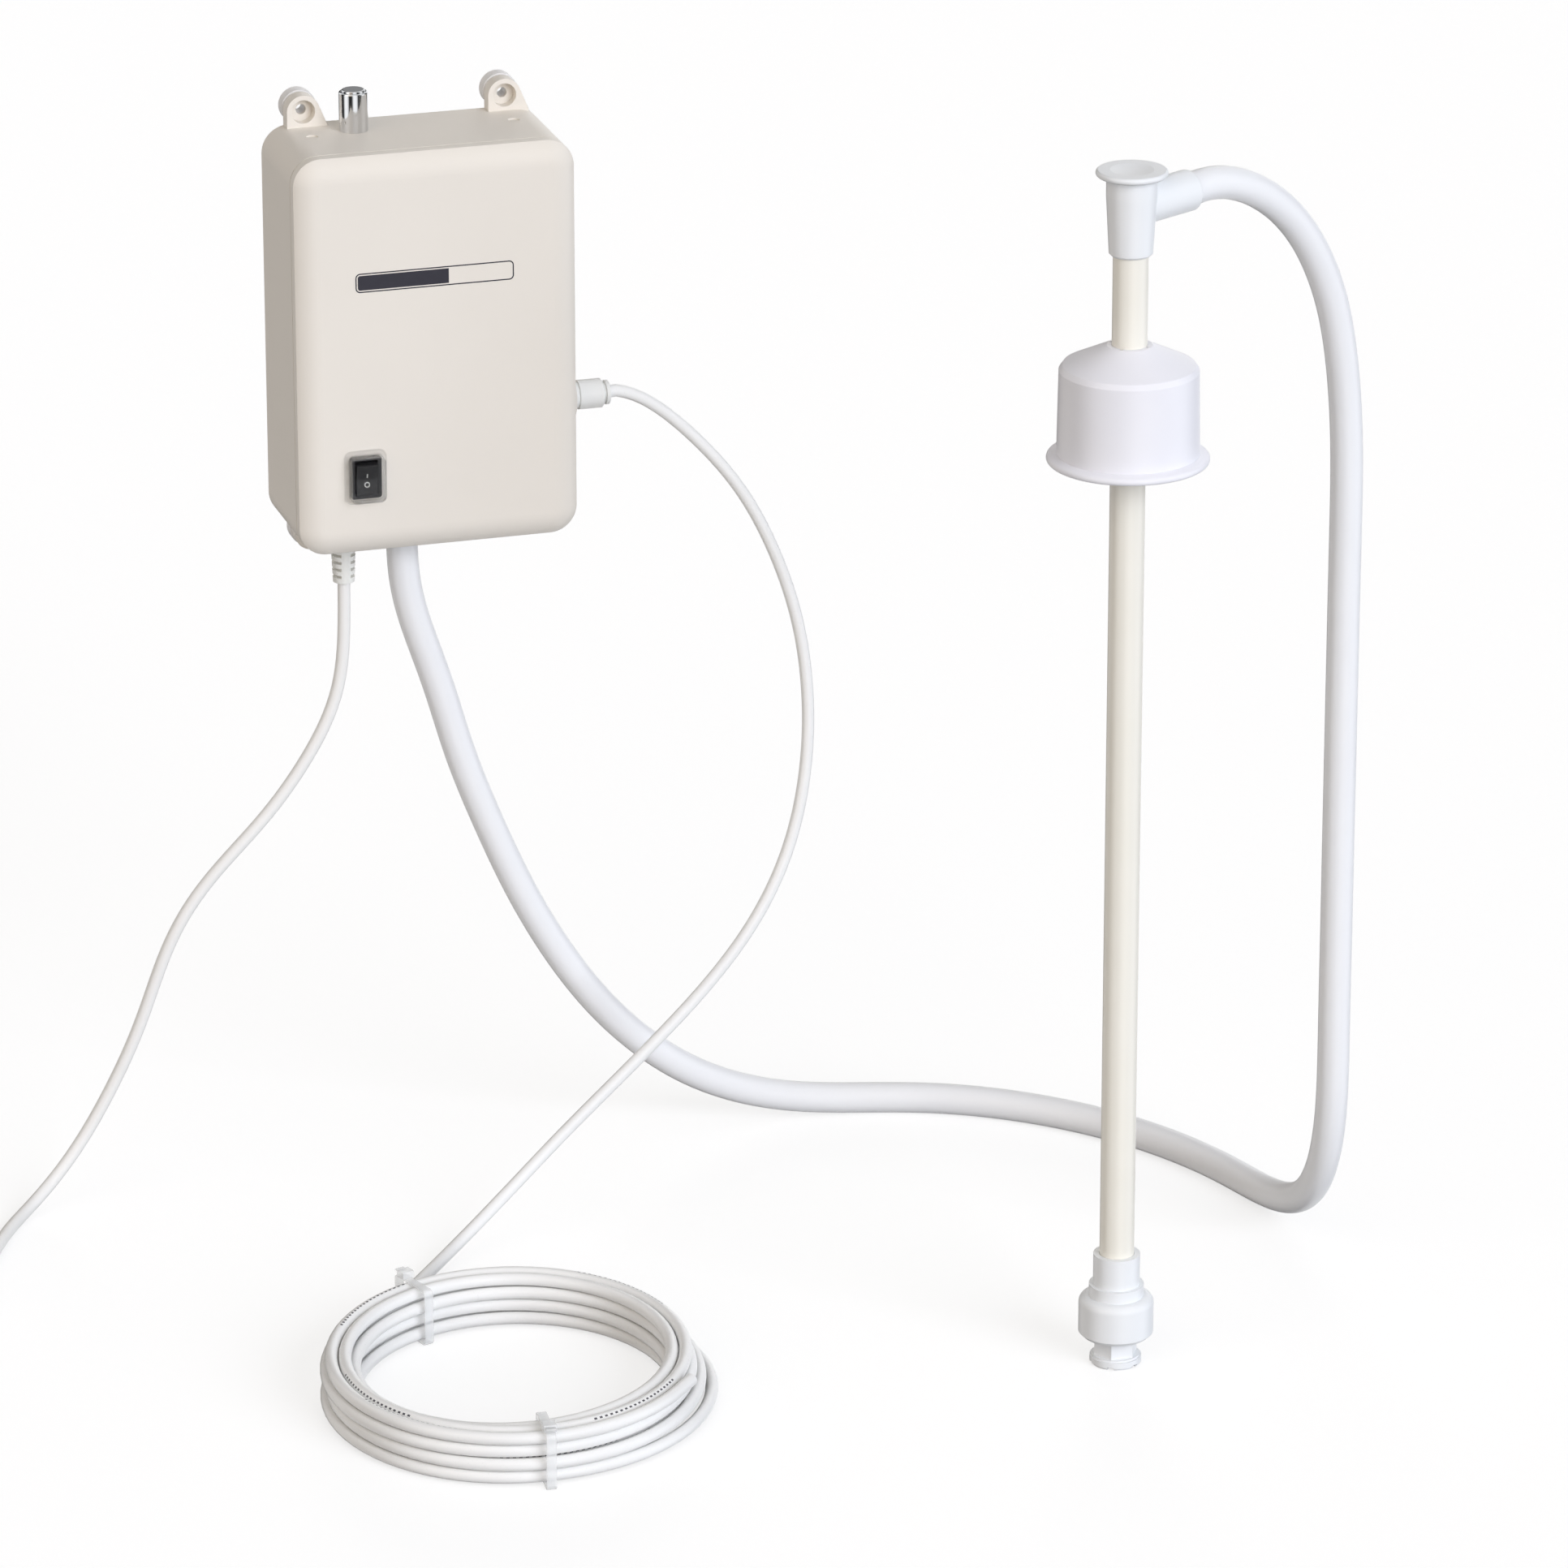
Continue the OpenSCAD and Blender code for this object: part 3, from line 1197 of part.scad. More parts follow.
module neck_cap() color("#f7f6f2") {
  body_r = cap_d / 2;
  rim_r = cap_rim_d / 2;
  hub_r = wand_r + cap_hub_wall;
  bore_r = body_r - cap_draft - cap_wall;
  lip = [rim_r - cap_lip_r, cap_lip_r];
  flare_top = [body_r, cap_flare_h];
  flare_touch = touch_point(flare_top - lip, cap_lip_r, -1);
  at_wand(cap_base) difference() {
    rotate_extrude() {
      polygon([
        [0, 0], [body_r, 0], [body_r - cap_draft, cap_roof], [body_r - cap_shoulder, cap_h],
        [hub_r, cap_h + cap_cone_h], [0, cap_h + cap_cone_h]
      ]);
      polygon([[0, 0], lip - [0, cap_lip_r], lip + flare_touch, flare_top, [0, cap_flare_h]]);
      translate(lip) circle(cap_lip_r);
    }
    translate([0, 0, -1]) cylinder(r = rim_r - 2 * cap_lip_r, h = 1 + cap_lip_r);
    translate([0, 0, -1]) difference() {
      cylinder(r = bore_r, h = cap_roof + 1);
      translate([0, 0, cap_roof + 1 - cap_collar_drop])
        cylinder(r = neck_d / 2 + cap_collar_wall, h = cap_collar_drop + 1);
    }
    translate([0, 0, -2]) cylinder(r = neck_d / 2, h = cap_roof + 2);
    cylinder(r = wand_r + slip, h = cap_h + cap_cone_h + 1);
    for (a = [45:90:315]) rotate(a) translate([wand_r - 0.5, -1, cap_h + cap_cone_h - 1.5])
      cube([2, 2, 3]);
  }
}

module cap_seal() color("#8a8c8e") {
  at_wand(cap_base + cap_roof - seal_t) ring(neck_d / 2 - seat, wand_r + 3, seal_t);
}

module foot_body() color("#f1ede2") {
  ring_r = foot_ring_d / 2;
  at_wand(ring_base) difference() {
    rotate_extrude() {
      polygon([
        [0, 0], [ring_r - foot_chamfer, 0], [ring_r, foot_chamfer],
        [ring_r, foot_ring_h - foot_edge_r], [ring_r - foot_edge_r, foot_ring_h], [0, foot_ring_h]
      ]);
      translate([ring_r - foot_edge_r, foot_ring_h - foot_edge_r]) intersection() {
        circle(foot_edge_r);
        square(foot_edge_r);
      }
      square([foot_step_d / 2, foot_ring_h + foot_step_h]);
      square([foot_collar_d / 2, foot_ring_h + foot_step_h + foot_collar_h]);
    }
    translate([0, 0, -1]) cylinder(r = chamber_r + 1.5, h = foot_thread_h + 2);
    cylinder(r = chamber_r, h = foot_ring_h);
    cylinder(r = foot_bore_r, h = foot_top);
    translate([0, 0, wand_seat_h - ring_base]) cylinder(r = wand_r + seat, h = foot_top);
  }
}

module foot_inlet() color("#f4f1e8") {
  at_wand(0) difference() {
    union() {
      rotate_extrude() {
        square([foot_flange_d / 2 - 1, foot_flange_h]);
        translate([0, 1]) square([foot_flange_d / 2, foot_flange_h - 2]);
      }
      translate([0, 0, foot_flange_h - 1]) cylinder(d = foot_hex_d, h = foot_hex_h + 1, $fn = 6);
      translate([0, 0, ring_base - 1]) cylinder(r = foot_hex_d / 2 * cos(30), h = 1.5);
      translate([0, 0, ring_base]) cylinder(r = chamber_r + 1.5 - seat, h = foot_thread_h - 1.8);
      translate([0, 0, ring_base]) cylinder(r = chamber_r - seat, h = foot_thread_h + 1);
    }
    translate([0, 0, -1]) cylinder(r = inlet_bore_r, h = foot_top);
    translate([0, 0, -1]) cylinder(r = inlet_bore_r + 2, h = 3);
    for (a = [0:60:300]) rotate(a) translate([inlet_bore_r - 1, -1.6, -1]) cube([foot_flange_d, 3.2, 2.6]);
  }
}

module foot_o_ring() color("black") {
  at_wand(ring_base + foot_thread_h - 0.9) rotate_extrude() translate([chamber_r + 0.7, 0.05]) circle(0.65);
}

module foot_strainer() color("#d9dadb") {
  at_wand(1.2) difference() {
    cylinder(r = inlet_bore_r + 2 - seat, h = 0.8);
    for (a = [0:60:300]) rotate(a) translate([4.2, 0, -1]) cylinder(d = 2.6, h = 3);
    translate([0, 0, -1]) cylinder(d = 3, h = 3);
  }
}

module check_poppet() color("#e9e5d6") {
  at_wand(valve_seat_h) {
    translate([0, 0, slip]) cylinder(r = poppet_r, h = poppet_t - slip);
    translate([0, 0, -foot_thread_h]) {
      cylinder(r = poppet_stem_r, h = foot_thread_h + 1);
      for (a = [0, 90]) rotate(a) translate([-inlet_bore_r + gap, -0.8, 0])
        cube([2 * inlet_bore_r - 2 * gap, 1.6, foot_thread_h + 1]);
    }
    translate([0, 0, poppet_t - 0.5]) cylinder(r = poppet_stem_r, h = 2);
  }
}

module check_spring() color("gray") {
  base = valve_seat_h + poppet_t + seat;
  at_wand(base) spring_wire_form(valve_spring_r, spring_wire, 4, ring_top - base - seat);
}

module suction_hose() color("#e9ecec") {
  swept_tube(hose_path, hose_r, 12);
}

module outlet_tube() color("#f0f0ee") {
  swept_tube(tube_path, tube_r, 8);
}

module outlet_coil() color("#f0f0ee") {
  swept_tube(outlet_coil_path, tube_r, coil_sides);
}

// Flat tie round the wound tubes, at an angle round the coil
module wrap_tie(depth, height, width, t) {
  rotate([90, 0, 0]) translate([0, 0, -width / 2]) linear_extrude(width) difference() {
    rounded_rect(depth + 2 * t, height + 2 * t, 2.5);
    rounded_rect(depth, height, 2);
  }
}

module coil_ties() color("#d5d8da") {
  span = coil_pitch * (coil_turns + 0.5);
  mean_r = coil_outer_r + coil_pitch / 4 - span / 2;
  pile_h = coil_layers * coil_pitch - coil_gap + tie_room;
  for (a = [110, 266]) {
    q = stretched([cos(a), sin(a), 0]);
    translate([coil_x, coil_y, floor_z + tie_t + pile_h / 2] + mean_r * q) rotate(atan2(q[1], q[0]))
      wrap_tie((span + tube_d) * norm(q) + 2 * tie_room, pile_h, 5, tie_t);
  }
}

module power_cord() color("#f0efea") {
  swept_tube(cord_path, cord_r, 8);
}

module power_cord_coil() color("#f0efea") {
  swept_tube(cord_coil_path, cord_r, coil_sides);
}

module cord_tie() color("#d5d8da") {
  span = cord_pitch * (cord_coil_turns + 0.25);
  mean_r = cord_coil_outer_r - span / 2;
  pile_h = cord_coil_layers * cord_pitch - coil_gap + tie_room;
  a = 200;
  translate([cord_coil_x, cord_coil_y, floor_z + tie_t + pile_h / 2] + mean_r * [cos(a), sin(a), 0]) rotate(a)
    wrap_tie(span + cord_d + 2 * tie_room, pile_h, 6, tie_t);
}

// The plug draws along +X from the end of the cord
module at_plug() {
  translate(cord_end) rotate(atan2(cord_end_dir[1], cord_end_dir[0])) children();
}

module power_plug() color("#f0efea") {
  at_plug() {
    rotate([0, 90, 0]) cylinder(d1 = cord_d + 1, d2 = plug_neck_d, h = plug_neck);
    translate([plug_neck - 1, 0, 0]) rotate([90, 0, 90])
      linear_extrude(plug_len - plug_neck - plug_face_t + 2)
      rounded_rect(plug_face[0] - 2 * plug_step, plug_face[1] - 2 * plug_step, plug_corner - plug_step);
    translate([plug_len - plug_face_t, 0, 0]) rotate([90, 0, 90]) linear_extrude(plug_face_t)
      rounded_rect(plug_face[0], plug_face[1], plug_corner);
  }
}

module plug_pins() color("#c9b26a") {
  at_plug() translate([plug_len, 0, 0]) {
    for (s = [-1, 1]) translate([0, s * blade_offset - blade_t / 2, -0.2])
      cube([blade_len, blade_t, blade_w]);
    translate([0, 0, -earth_drop]) rotate([0, 90, 0]) cylinder(d = earth_d, h = earth_len);
  }
}

rear_housing();
front_cover();
cover_screws();
wall_isolators();
switch_body();
switch_rocker();
switch_boot();
reset_sleeve();
reset_plunger();
reset_spring();
breaker_body();
outlet_fitting();
outlet_collet();
outlet_o_ring();
outlet_link();
cord_gland();
hose_grommet();
inlet_elbow();
pump_bracket();
pump_feet();
motor_strap();
motor_can();
motor_end_bell();
motor_magnets();
motor_brushes();
armature();
motor_bearings();
drive_cam();
cam_bearing();
wobble_plate();
pump_housing();
diaphragm();
valve_plate();
valve_flaps();
pump_head();
head_screws();
pressure_switch();
circuit_board();
board_screws();
wand_head();
wand_plug();
suction_tube();
neck_cap();
cap_seal();
foot_body();
foot_inlet();
foot_o_ring();
foot_strainer();
check_poppet();
check_spring();
suction_hose();
outlet_tube();
outlet_coil();
coil_ties();
power_cord();
power_cord_coil();
cord_tie();
power_plug();
plug_pins();
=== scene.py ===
import json
import math

import bpy
import numpy
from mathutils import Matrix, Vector
from mathutils.bvhtree import BVHTree


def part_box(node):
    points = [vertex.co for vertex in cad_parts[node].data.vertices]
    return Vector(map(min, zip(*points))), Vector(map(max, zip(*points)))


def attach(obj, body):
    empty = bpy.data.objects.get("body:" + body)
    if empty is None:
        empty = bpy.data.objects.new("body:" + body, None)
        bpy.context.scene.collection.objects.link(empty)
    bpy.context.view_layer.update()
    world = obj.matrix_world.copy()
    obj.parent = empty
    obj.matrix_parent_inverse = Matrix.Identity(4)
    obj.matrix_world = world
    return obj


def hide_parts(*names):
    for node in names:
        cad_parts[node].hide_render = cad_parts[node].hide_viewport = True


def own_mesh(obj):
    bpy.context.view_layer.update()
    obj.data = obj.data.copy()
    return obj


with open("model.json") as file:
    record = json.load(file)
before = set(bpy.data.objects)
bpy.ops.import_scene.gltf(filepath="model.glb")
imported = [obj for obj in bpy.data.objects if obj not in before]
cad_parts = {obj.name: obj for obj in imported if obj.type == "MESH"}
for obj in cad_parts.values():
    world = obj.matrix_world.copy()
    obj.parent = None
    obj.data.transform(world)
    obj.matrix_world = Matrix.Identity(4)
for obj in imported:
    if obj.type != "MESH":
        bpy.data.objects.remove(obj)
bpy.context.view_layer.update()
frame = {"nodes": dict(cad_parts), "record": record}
nodes = frame["nodes"]
print("frame loaded:", len(nodes), "pieces")


def middle(node):
    low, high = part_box(node)
    return (low + high) / 2


# Camera: a long lens from above and a little to the left
camera = {"place": (-1.0811, -4.2020, 1.3624), "azimuth": -17.0, "elevation": 20.5, "fieldOfView": 10.0,
          "sensorMm": 36.0, "nearest": 0.1, "farthest": 60.0}


def makeCamera(c):
    data = bpy.data.cameras.new("camera")
    data.sensor_width = c["sensorMm"]
    data.lens = data.sensor_width / 2 / math.tan(math.radians(c["fieldOfView"]) / 2)
    data.clip_start = c["nearest"]
    data.clip_end = c["farthest"]
    obj = bpy.data.objects.new("camera", data)
    bpy.context.scene.collection.objects.link(obj)
    turn = math.radians(c["azimuth"])
    lift = math.radians(c["elevation"])
    back = Vector((math.sin(turn) * math.cos(lift), -math.cos(turn) * math.cos(lift), math.sin(lift)))
    obj.location = c["place"]
    obj.rotation_mode = "QUATERNION"
    obj.rotation_quaternion = (-back).to_track_quat("-Z", "Y")
    bpy.context.scene.camera = obj


makeCamera(camera)
print("camera set")

# Cords: smooth curves through listed points, then coils worked out turn by turn


# Point between b and c on a smooth curve that also heads for a and d
def knot(a, b, c, d, u):
    slope = (c - a) * u
    bend = (2 * a - 5 * b + 4 * c - d) * u * u
    swing = (3 * b - a - 3 * c + d) * u * u * u
    return (2 * b + slope + bend + swing) / 2


def smoothRoute(points, steps):
    p = [Vector(q) for q in points]
    last = len(p) - 1
    route = []
    for i in range(last):
        for s in range(steps):
            route.append(knot(p[max(i - 1, 0)], p[i], p[i + 1], p[min(i + 2, last)], s / steps))
    return route + [p[last]]


def routeLength(points):
    return sum((b - a).length for a, b in zip(points, points[1:]))


# Rings at an even spacing, with the small wobble of the chosen points eased out between two held ends
easing = {"spacing": 0.005, "ease": 280.0, "grip": 1e6}  # takes out waves shorter than about 80 mm


def evenRoute(route, held, e):
    passed = [routeLength(route[:i + 1]) for i in range(len(route))]
    count = round(passed[-1] / e["spacing"]) + 1
    marks = numpy.linspace(0.0, passed[-1], count)
    rings = numpy.array([numpy.interp(marks, passed, [p[i] for p in route]) for i in range(3)]).T
    third = numpy.diff(numpy.eye(count), 3, axis=0)
    grip = numpy.ones(count)
    grip[:held] = e["grip"]
    grip[-held:] = e["grip"]
    stiff = numpy.diag(grip) + e["ease"] * third.T @ third
    eased = numpy.linalg.solve(stiff, grip[:, None] * rings)
    return [Vector(p) for p in eased.tolist()]


# One loose loop of the coil swells outwards
def coilBulge(c, t):
    if t < c["slackFrom"] or t > c["slackTo"]:
        return 0.0
    return (1 - math.cos(2 * math.pi * (t - c["slackFrom"]) / (c["slackTo"] - c["slackFrom"]))) / 2


# Share of the climb to the next layer, eased at both ends
def climbStep(u):
    return (1 - math.cos(math.pi * min(max(u, 0), 1))) / 2


# Oval form of a coil: longer along its lean
def stretched(c, flat):
    lean = math.radians(c["lean"])
    across = Vector((math.cos(lean), -math.sin(lean), 0))
    along = Vector((math.sin(lean), math.cos(lean), 0))
    return across * flat.dot(across) + along * flat.dot(along) * c["stretch"]


halfReverse = 0.25  # turns: a reversal takes half a turn, shared by the two layers


# The coil spirals in and out in turn, and climbs one layer each time it reverses
def coilPath(c):
    pitch = c["diameter"] + c["gap"]
    turns = c["turns"]
    layers = c["layers"]
    count = round(c["ringsPerTurn"] * (layers * turns + (layers - 1) * 2 * halfReverse))
    path = []
    for i in range(count + 1):
        t = i / c["ringsPerTurn"]
        phase = (t + halfReverse) % (2 * turns + 1)
        inward = min(phase, 2 * turns + 1 - phase) - halfReverse
        reach = c["outer"] - pitch * inward + c["slack"] * coilBulge(c, t)
        angle = math.radians(c["start"]) + c["hand"] * 2 * math.pi * t
        flat = Vector((reach * math.cos(angle), reach * math.sin(angle), 0))
        climb = pitch * sum(climbStep(2 * (t - k * turns) - k + 1) for k in range(1, layers))
        path.append(Vector(c["middle"]) + stretched(c, flat) + Vector((0, 0, climb)))
    first = path[0] - (path[1] - path[0]).normalized() * c["diameter"]
    final = path[-1] + (path[-1] - path[-2]).normalized() * c["tail"]
    return [first] + path + [final]


runUp = (4, 2, 0)  # diameters of straight run before a coil


# Free run from the exit, eased, then straight into the coil
def runToCoil(c, start):
    coil = coilPath(c["coil"])
    along = (coil[1] - coil[0]).normalized()
    end = [coil[0] - along * c["diameter"] * k for k in runUp]
    route = smoothRoute(start + c["route"] + end, c["steps"])
    return evenRoute(route, c["heldRings"], easing) + coil[1:]


sweptTube = {"uprightFrom": 0.9, "sharpDegrees": 50}


# Round tube along a path. An open end gets its bore.
# Each ring knows its distance and its turn, for the print.
def sweptMesh(name, path, radius, sides, bore=0.0, boreDepth=0.0, twist=0.0):
    verts = []
    faces = []
    marks = []
    upright = abs((path[1] - path[0]).normalized().z) > sweptTube["uprightFrom"]
    normal = Vector((0, 1, 0)) if upright else Vector((0, 0, 1))
    distance = 0.0
    for i, p in enumerate(path):
        distance += (p - path[max(i - 1, 0)]).length
        along = (path[min(i + 1, len(path) - 1)] - path[max(i - 1, 0)]).normalized()
        normal = (normal - along * normal.dot(along)).normalized()
        side = along.cross(normal)
        for k in range(sides):
            a = 2 * math.pi * k / sides
            verts.append(p + (normal * math.cos(a) + side * math.sin(a)) * radius)
            marks.extend((distance, math.cos(a + 2 * math.pi * twist * distance), 0.0))
    rings = len(path)
    if bore:
        for p in (path[-1], path[-1] - along * boreDepth):
            for k in range(sides):
                a = 2 * math.pi * k / sides
                verts.append(p + (normal * math.cos(a) + side * math.sin(a)) * bore)
                marks.extend((0.0, 0.0, 0.0))
            rings += 1
    for i in range(rings - 1):
        for k in range(sides):
            a = i * sides + k
            b = i * sides + (k + 1) % sides
            faces.append((a, b, b + sides, a + sides))
    top = (rings - 1) * sides
    faces.append(tuple(reversed(range(sides))))
    faces.append(tuple(range(top, top + sides)))
    data = bpy.data.meshes.new(name)
    data.from_pydata(verts, [], faces)
    data.attributes.new("printPlace", "FLOAT_VECTOR", "POINT").data.foreach_set("vector", marks)
    data.shade_smooth()
    data.set_sharp_from_angle(angle=math.radians(sweptTube["sharpDegrees"]))
    obj = bpy.data.objects.new(name, data)
    bpy.context.scene.collection.objects.link(obj)
    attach(obj, "pump_unit")
    return obj


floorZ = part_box("foot_inlet")[0].z
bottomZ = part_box("front_cover")[0].z
pumpY = middle("hose_grommet").y
tieRoom = 0.0012  # the coils lie on their ties

hose = {
    "diameter": 0.016,
    "length": 1.446,
    "sides": 28,
    "steps": 8,
    "socketTurn": 27.0,  # degrees that the wand's side socket points away from the outlet side
    "socketReach": 0.038,
    "socketDrop": 0.0181,  # below the top of the wand
    "socketDepth": 0.014,
    "socketRun": 0.018,  # straight before the socket
    "exitRun": (0.006, 0.020),  # straight below the housing
    "heldRings": 7,  # rings at each end that easing leaves alone
    "route": [
        (-0.006, -0.043, -0.152), (0.006, -0.043, -0.188), (0.017, -0.044, -0.228), (0.029, -0.045, -0.260),
        (0.041, -0.045, -0.290), (0.056, -0.045, -0.321), (0.073, -0.045, -0.350), (0.093, -0.045, -0.377),
        (0.118, -0.044, -0.402), (0.150, -0.042, -0.424), (0.190, -0.043, -0.438), (0.230, -0.048, -0.442),
        (0.275, -0.064, -0.442), (0.320, -0.096, -0.442), (0.356, -0.140, -0.442), (0.380, -0.190, -0.442),
        (0.391, -0.235, -0.440), (0.394, -0.275, -0.426), (0.393, -0.305, -0.398), (0.392, -0.320, -0.360),
        (0.391, -0.324, -0.300), (0.391, -0.324, -0.200), (0.391, -0.324, -0.100), (0.391, -0.324, -0.030),
        (0.390, -0.324, 0.004), (0.387, -0.325, 0.031), (0.382, -0.328, 0.057), (0.376, -0.331, 0.076),
        (0.367, -0.335, 0.094), (0.357, -0.340, 0.110), (0.343, -0.347, 0.124), (0.326, -0.354, 0.136),
    ],
}


def makeHose(h):
    x = middle("hose_grommet").x
    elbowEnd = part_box("inlet_elbow")[0].z
    turn = math.radians(h["socketTurn"])
    outward = Vector((math.cos(turn), math.sin(turn), 0))
    tube = middle("suction_tube")
    socket = Vector((tube.x, tube.y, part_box("wand_plug")[1].z - h["socketDrop"]))
    mouth = socket + outward * h["socketReach"]
    start = [(x, pumpY, elbowEnd)] + [(x, pumpY, bottomZ - d) for d in h["exitRun"]]
    end = [mouth + outward * h["socketRun"], mouth, mouth - outward * h["socketDepth"]]
    path = evenRoute(smoothRoute(start + h["route"] + end, h["steps"]), h["heldRings"], easing)
    obj = sweptMesh("suction_hose_form", path, h["diameter"] / 2, h["sides"])
    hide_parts("suction_hose")
    print("suction hose:", round(routeLength(path), 3), "m")
    return obj


# Cable ties: a flat strap round the wound tubes, with its locking head and the cut tail
coilTies = {"angles": (110, 266), "width": 0.005, "thickness": 0.0008, "room": 0.0008, "share": 0.5,
            "edge": 0.5, "corner": 0.0025, "cornerSteps": 6, "head": (0.0062, 0.0066, 0.0036),
            "tail": 0.003, "soft": 0.00025, "softSteps": 2}
cordTie = dict(coilTies, angles=(200,), width=0.006, share=0.25, edge=0.0)


# Plain block of a strap, from one corner and its three edges
def strapBlock(verts, faces, corner, edges):
    first = len(verts)
    for k in range(8):
        use = [edges[i] if k >> i & 1 else Vector((0, 0, 0)) for i in range(3)]
        verts.append(corner + use[0] + use[1] + use[2])
    for face in ((0, 2, 3, 1), (4, 5, 7, 6), (0, 1, 5, 4), (2, 6, 7, 3), (0, 4, 6, 2), (1, 3, 7, 5)):
        faces.append(tuple(first + i for i in face))


def makeTies(node, t, coil):
    pitch = coil["diameter"] + coil["gap"]
    span = pitch * (coil["turns"] + t["share"])
    meanReach = coil["outer"] + t["edge"] * pitch / 2 - span / 2
    pile = coil["layers"] * pitch - coil["gap"] + t["room"]
    base = Vector((coil["middle"][0], coil["middle"][1], floorZ + t["thickness"] + pile / 2))
    up = Vector((0, 0, 1))
    verts = []
    faces = []
    for angle in t["angles"]:
        spot = Vector((math.cos(math.radians(angle)), math.sin(math.radians(angle)), 0))
        q = stretched(coil, spot)
        out = q.normalized()
        side = up.cross(out)
        centre = base + q * meanReach
        halfDepth = ((span + coil["diameter"]) * q.length + 2 * t["room"]) / 2
        first = len(verts)
        count = 4 * (t["cornerSteps"] + 1)
        for swell in (t["thickness"], 0.0):
            r = t["corner"] + swell - t["thickness"]
            for spin, sx, sz in ((-90, 1, -1), (0, 1, 1), (90, -1, 1), (180, -1, -1)):
                for k in range(t["cornerSteps"] + 1):
                    a = math.radians(spin + 90 * k / t["cornerSteps"])
                    x = sx * (halfDepth + swell - r) + r * math.cos(a)
                    z = sz * (pile / 2 + swell - r) + r * math.sin(a)
                    for half in (-0.5, 0.5):
                        verts.append(centre + out * x + up * z + side * half * t["width"])
        for k in range(count):
            n = (k + 1) % count
            o, p = first + 2 * k, first + 2 * n
            i, j = o + 2 * count, p + 2 * count
            faces.extend(((o, p, p + 1, o + 1), (i + 1, j + 1, j, i)))
            faces.extend(((o + 1, p + 1, j + 1, i + 1), (p, o, i, j)))
        long, wide, tall = t["head"]
        top = centre + up * (pile / 2 + t["thickness"]) + out * (halfDepth - t["corner"] - long)
        strapBlock(verts, faces, top - side * wide / 2, (out * long, side * wide, up * tall))
        lip = top + out * long + up * (tall - 2 * t["thickness"])
        strapBlock(verts, faces, lip - side * t["width"] / 2,
                   (out * t["tail"], side * t["width"], up * t["thickness"]))
    data = bpy.data.meshes.new(node + "_form")
    data.from_pydata(verts, [], faces)
    obj = bpy.data.objects.new(node + "_form", data)
    bpy.context.scene.collection.objects.link(obj)
    soft = obj.modifiers.new("soft_edges", "BEVEL")
    soft.width = t["soft"]
    soft.segments = t["softSteps"]
    soft.limit_method = "ANGLE"
    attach(obj, "pump_unit")
    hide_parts(node)
    return obj


tubeDiameter = 0.00635  # 1/4 inch

outletTube = {
    "diameter": tubeDiameter,
    "length": 6.04,
    "sides": 20,
    "steps": 8,
    "socketDepth": 0.0175,
    "bore": 0.00215,
    "boreDepth": 0.010,
    "printTwist": 0.35,  # turns that the printed line wanders round the tube in a metre
    "exitRun": (0.004, 0.010),  # straight out of the collar
    "heldRings": 8,
    "route": [
        (0.118, -0.045, -0.048), (0.141, -0.048, -0.068), (0.164, -0.053, -0.096), (0.180, -0.060, -0.130),
        (0.190, -0.067, -0.164), (0.193, -0.074, -0.197), (0.192, -0.080, -0.221), (0.187, -0.087, -0.249),
        (0.176, -0.095, -0.281), (0.154, -0.105, -0.315), (0.122, -0.117, -0.345), (0.093, -0.127, -0.366),
        (0.069, -0.135, -0.383), (0.045, -0.143, -0.399), (0.020, -0.152, -0.417), (-0.004, -0.162, -0.433),
        (-0.028, -0.180, -0.443), (-0.055, -0.211, -0.446),
    ],
    "coil": {
        "diameter": tubeDiameter, "gap": 0.0005, "layers": 4, "turns": 2, "outer": 0.091,
        "middle": (-0.041, -0.347, floorZ + tieRoom + tubeDiameter / 2), "stretch": 1.12, "lean": 17.0,
        "start": 138.0, "hand": 1, "tail": 0.012, "ringsPerTurn": 72,
        "slack": 0.011, "slackFrom": 0.34, "slackTo": 0.9,
    },
}


def makeOutletTube(t):
    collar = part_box("outlet_fitting")[1].x
    entry = middle("outlet_collet")
    stop = collar - t["socketDepth"]
    start = [(stop, entry.y, entry.z)] + [(collar + d, entry.y, entry.z) for d in t["exitRun"]]
    path = runToCoil(t, start)
    obj = sweptMesh("outlet_tube_form", path, t["diameter"] / 2, t["sides"], t["bore"], t["boreDepth"],
                    t["printTwist"])
    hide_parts("outlet_tube", "outlet_coil")
    print("outlet tube:", round(routeLength(path), 3), "m")
    return obj


cordDiameter = 0.0065

powerCord = {
    "diameter": cordDiameter,
    "length": 1.684,
    "sides": 20,
    "steps": 8,
    "glandLength": 0.025,
    "startInside": 0.003,
    "exitRun": 0.008,  # straight below the gland
    "heldRings": 6,
    "route": [
        (-0.044, -0.045, -0.160), (-0.047, -0.046, -0.186), (-0.055, -0.047, -0.203),
        (-0.069, -0.048, -0.226), (-0.088, -0.049, -0.250), (-0.112, -0.049, -0.274),
        (-0.131, -0.048, -0.299), (-0.143, -0.046, -0.325), (-0.152, -0.044, -0.352),
        (-0.163, -0.042, -0.378), (-0.174, -0.041, -0.399), (-0.187, -0.042, -0.420),
        (-0.202, -0.046, -0.436), (-0.216, -0.056, -0.445), (-0.231, -0.076, -0.446),
        (-0.246, -0.105, -0.446),
    ],
    "coil": {
        "diameter": cordDiameter, "gap": 0.0005, "layers": 2, "turns": 2.5, "outer": 0.042,
        "middle": (-0.312, -0.148, floorZ + tieRoom + cordDiameter / 2), "stretch": 1.0, "lean": 0.0,
        "start": -19.0, "hand": -1, "tail": 0.038, "ringsPerTurn": 64,
        "slack": 0.0, "slackFrom": 0.0, "slackTo": 0.5,
    },
}


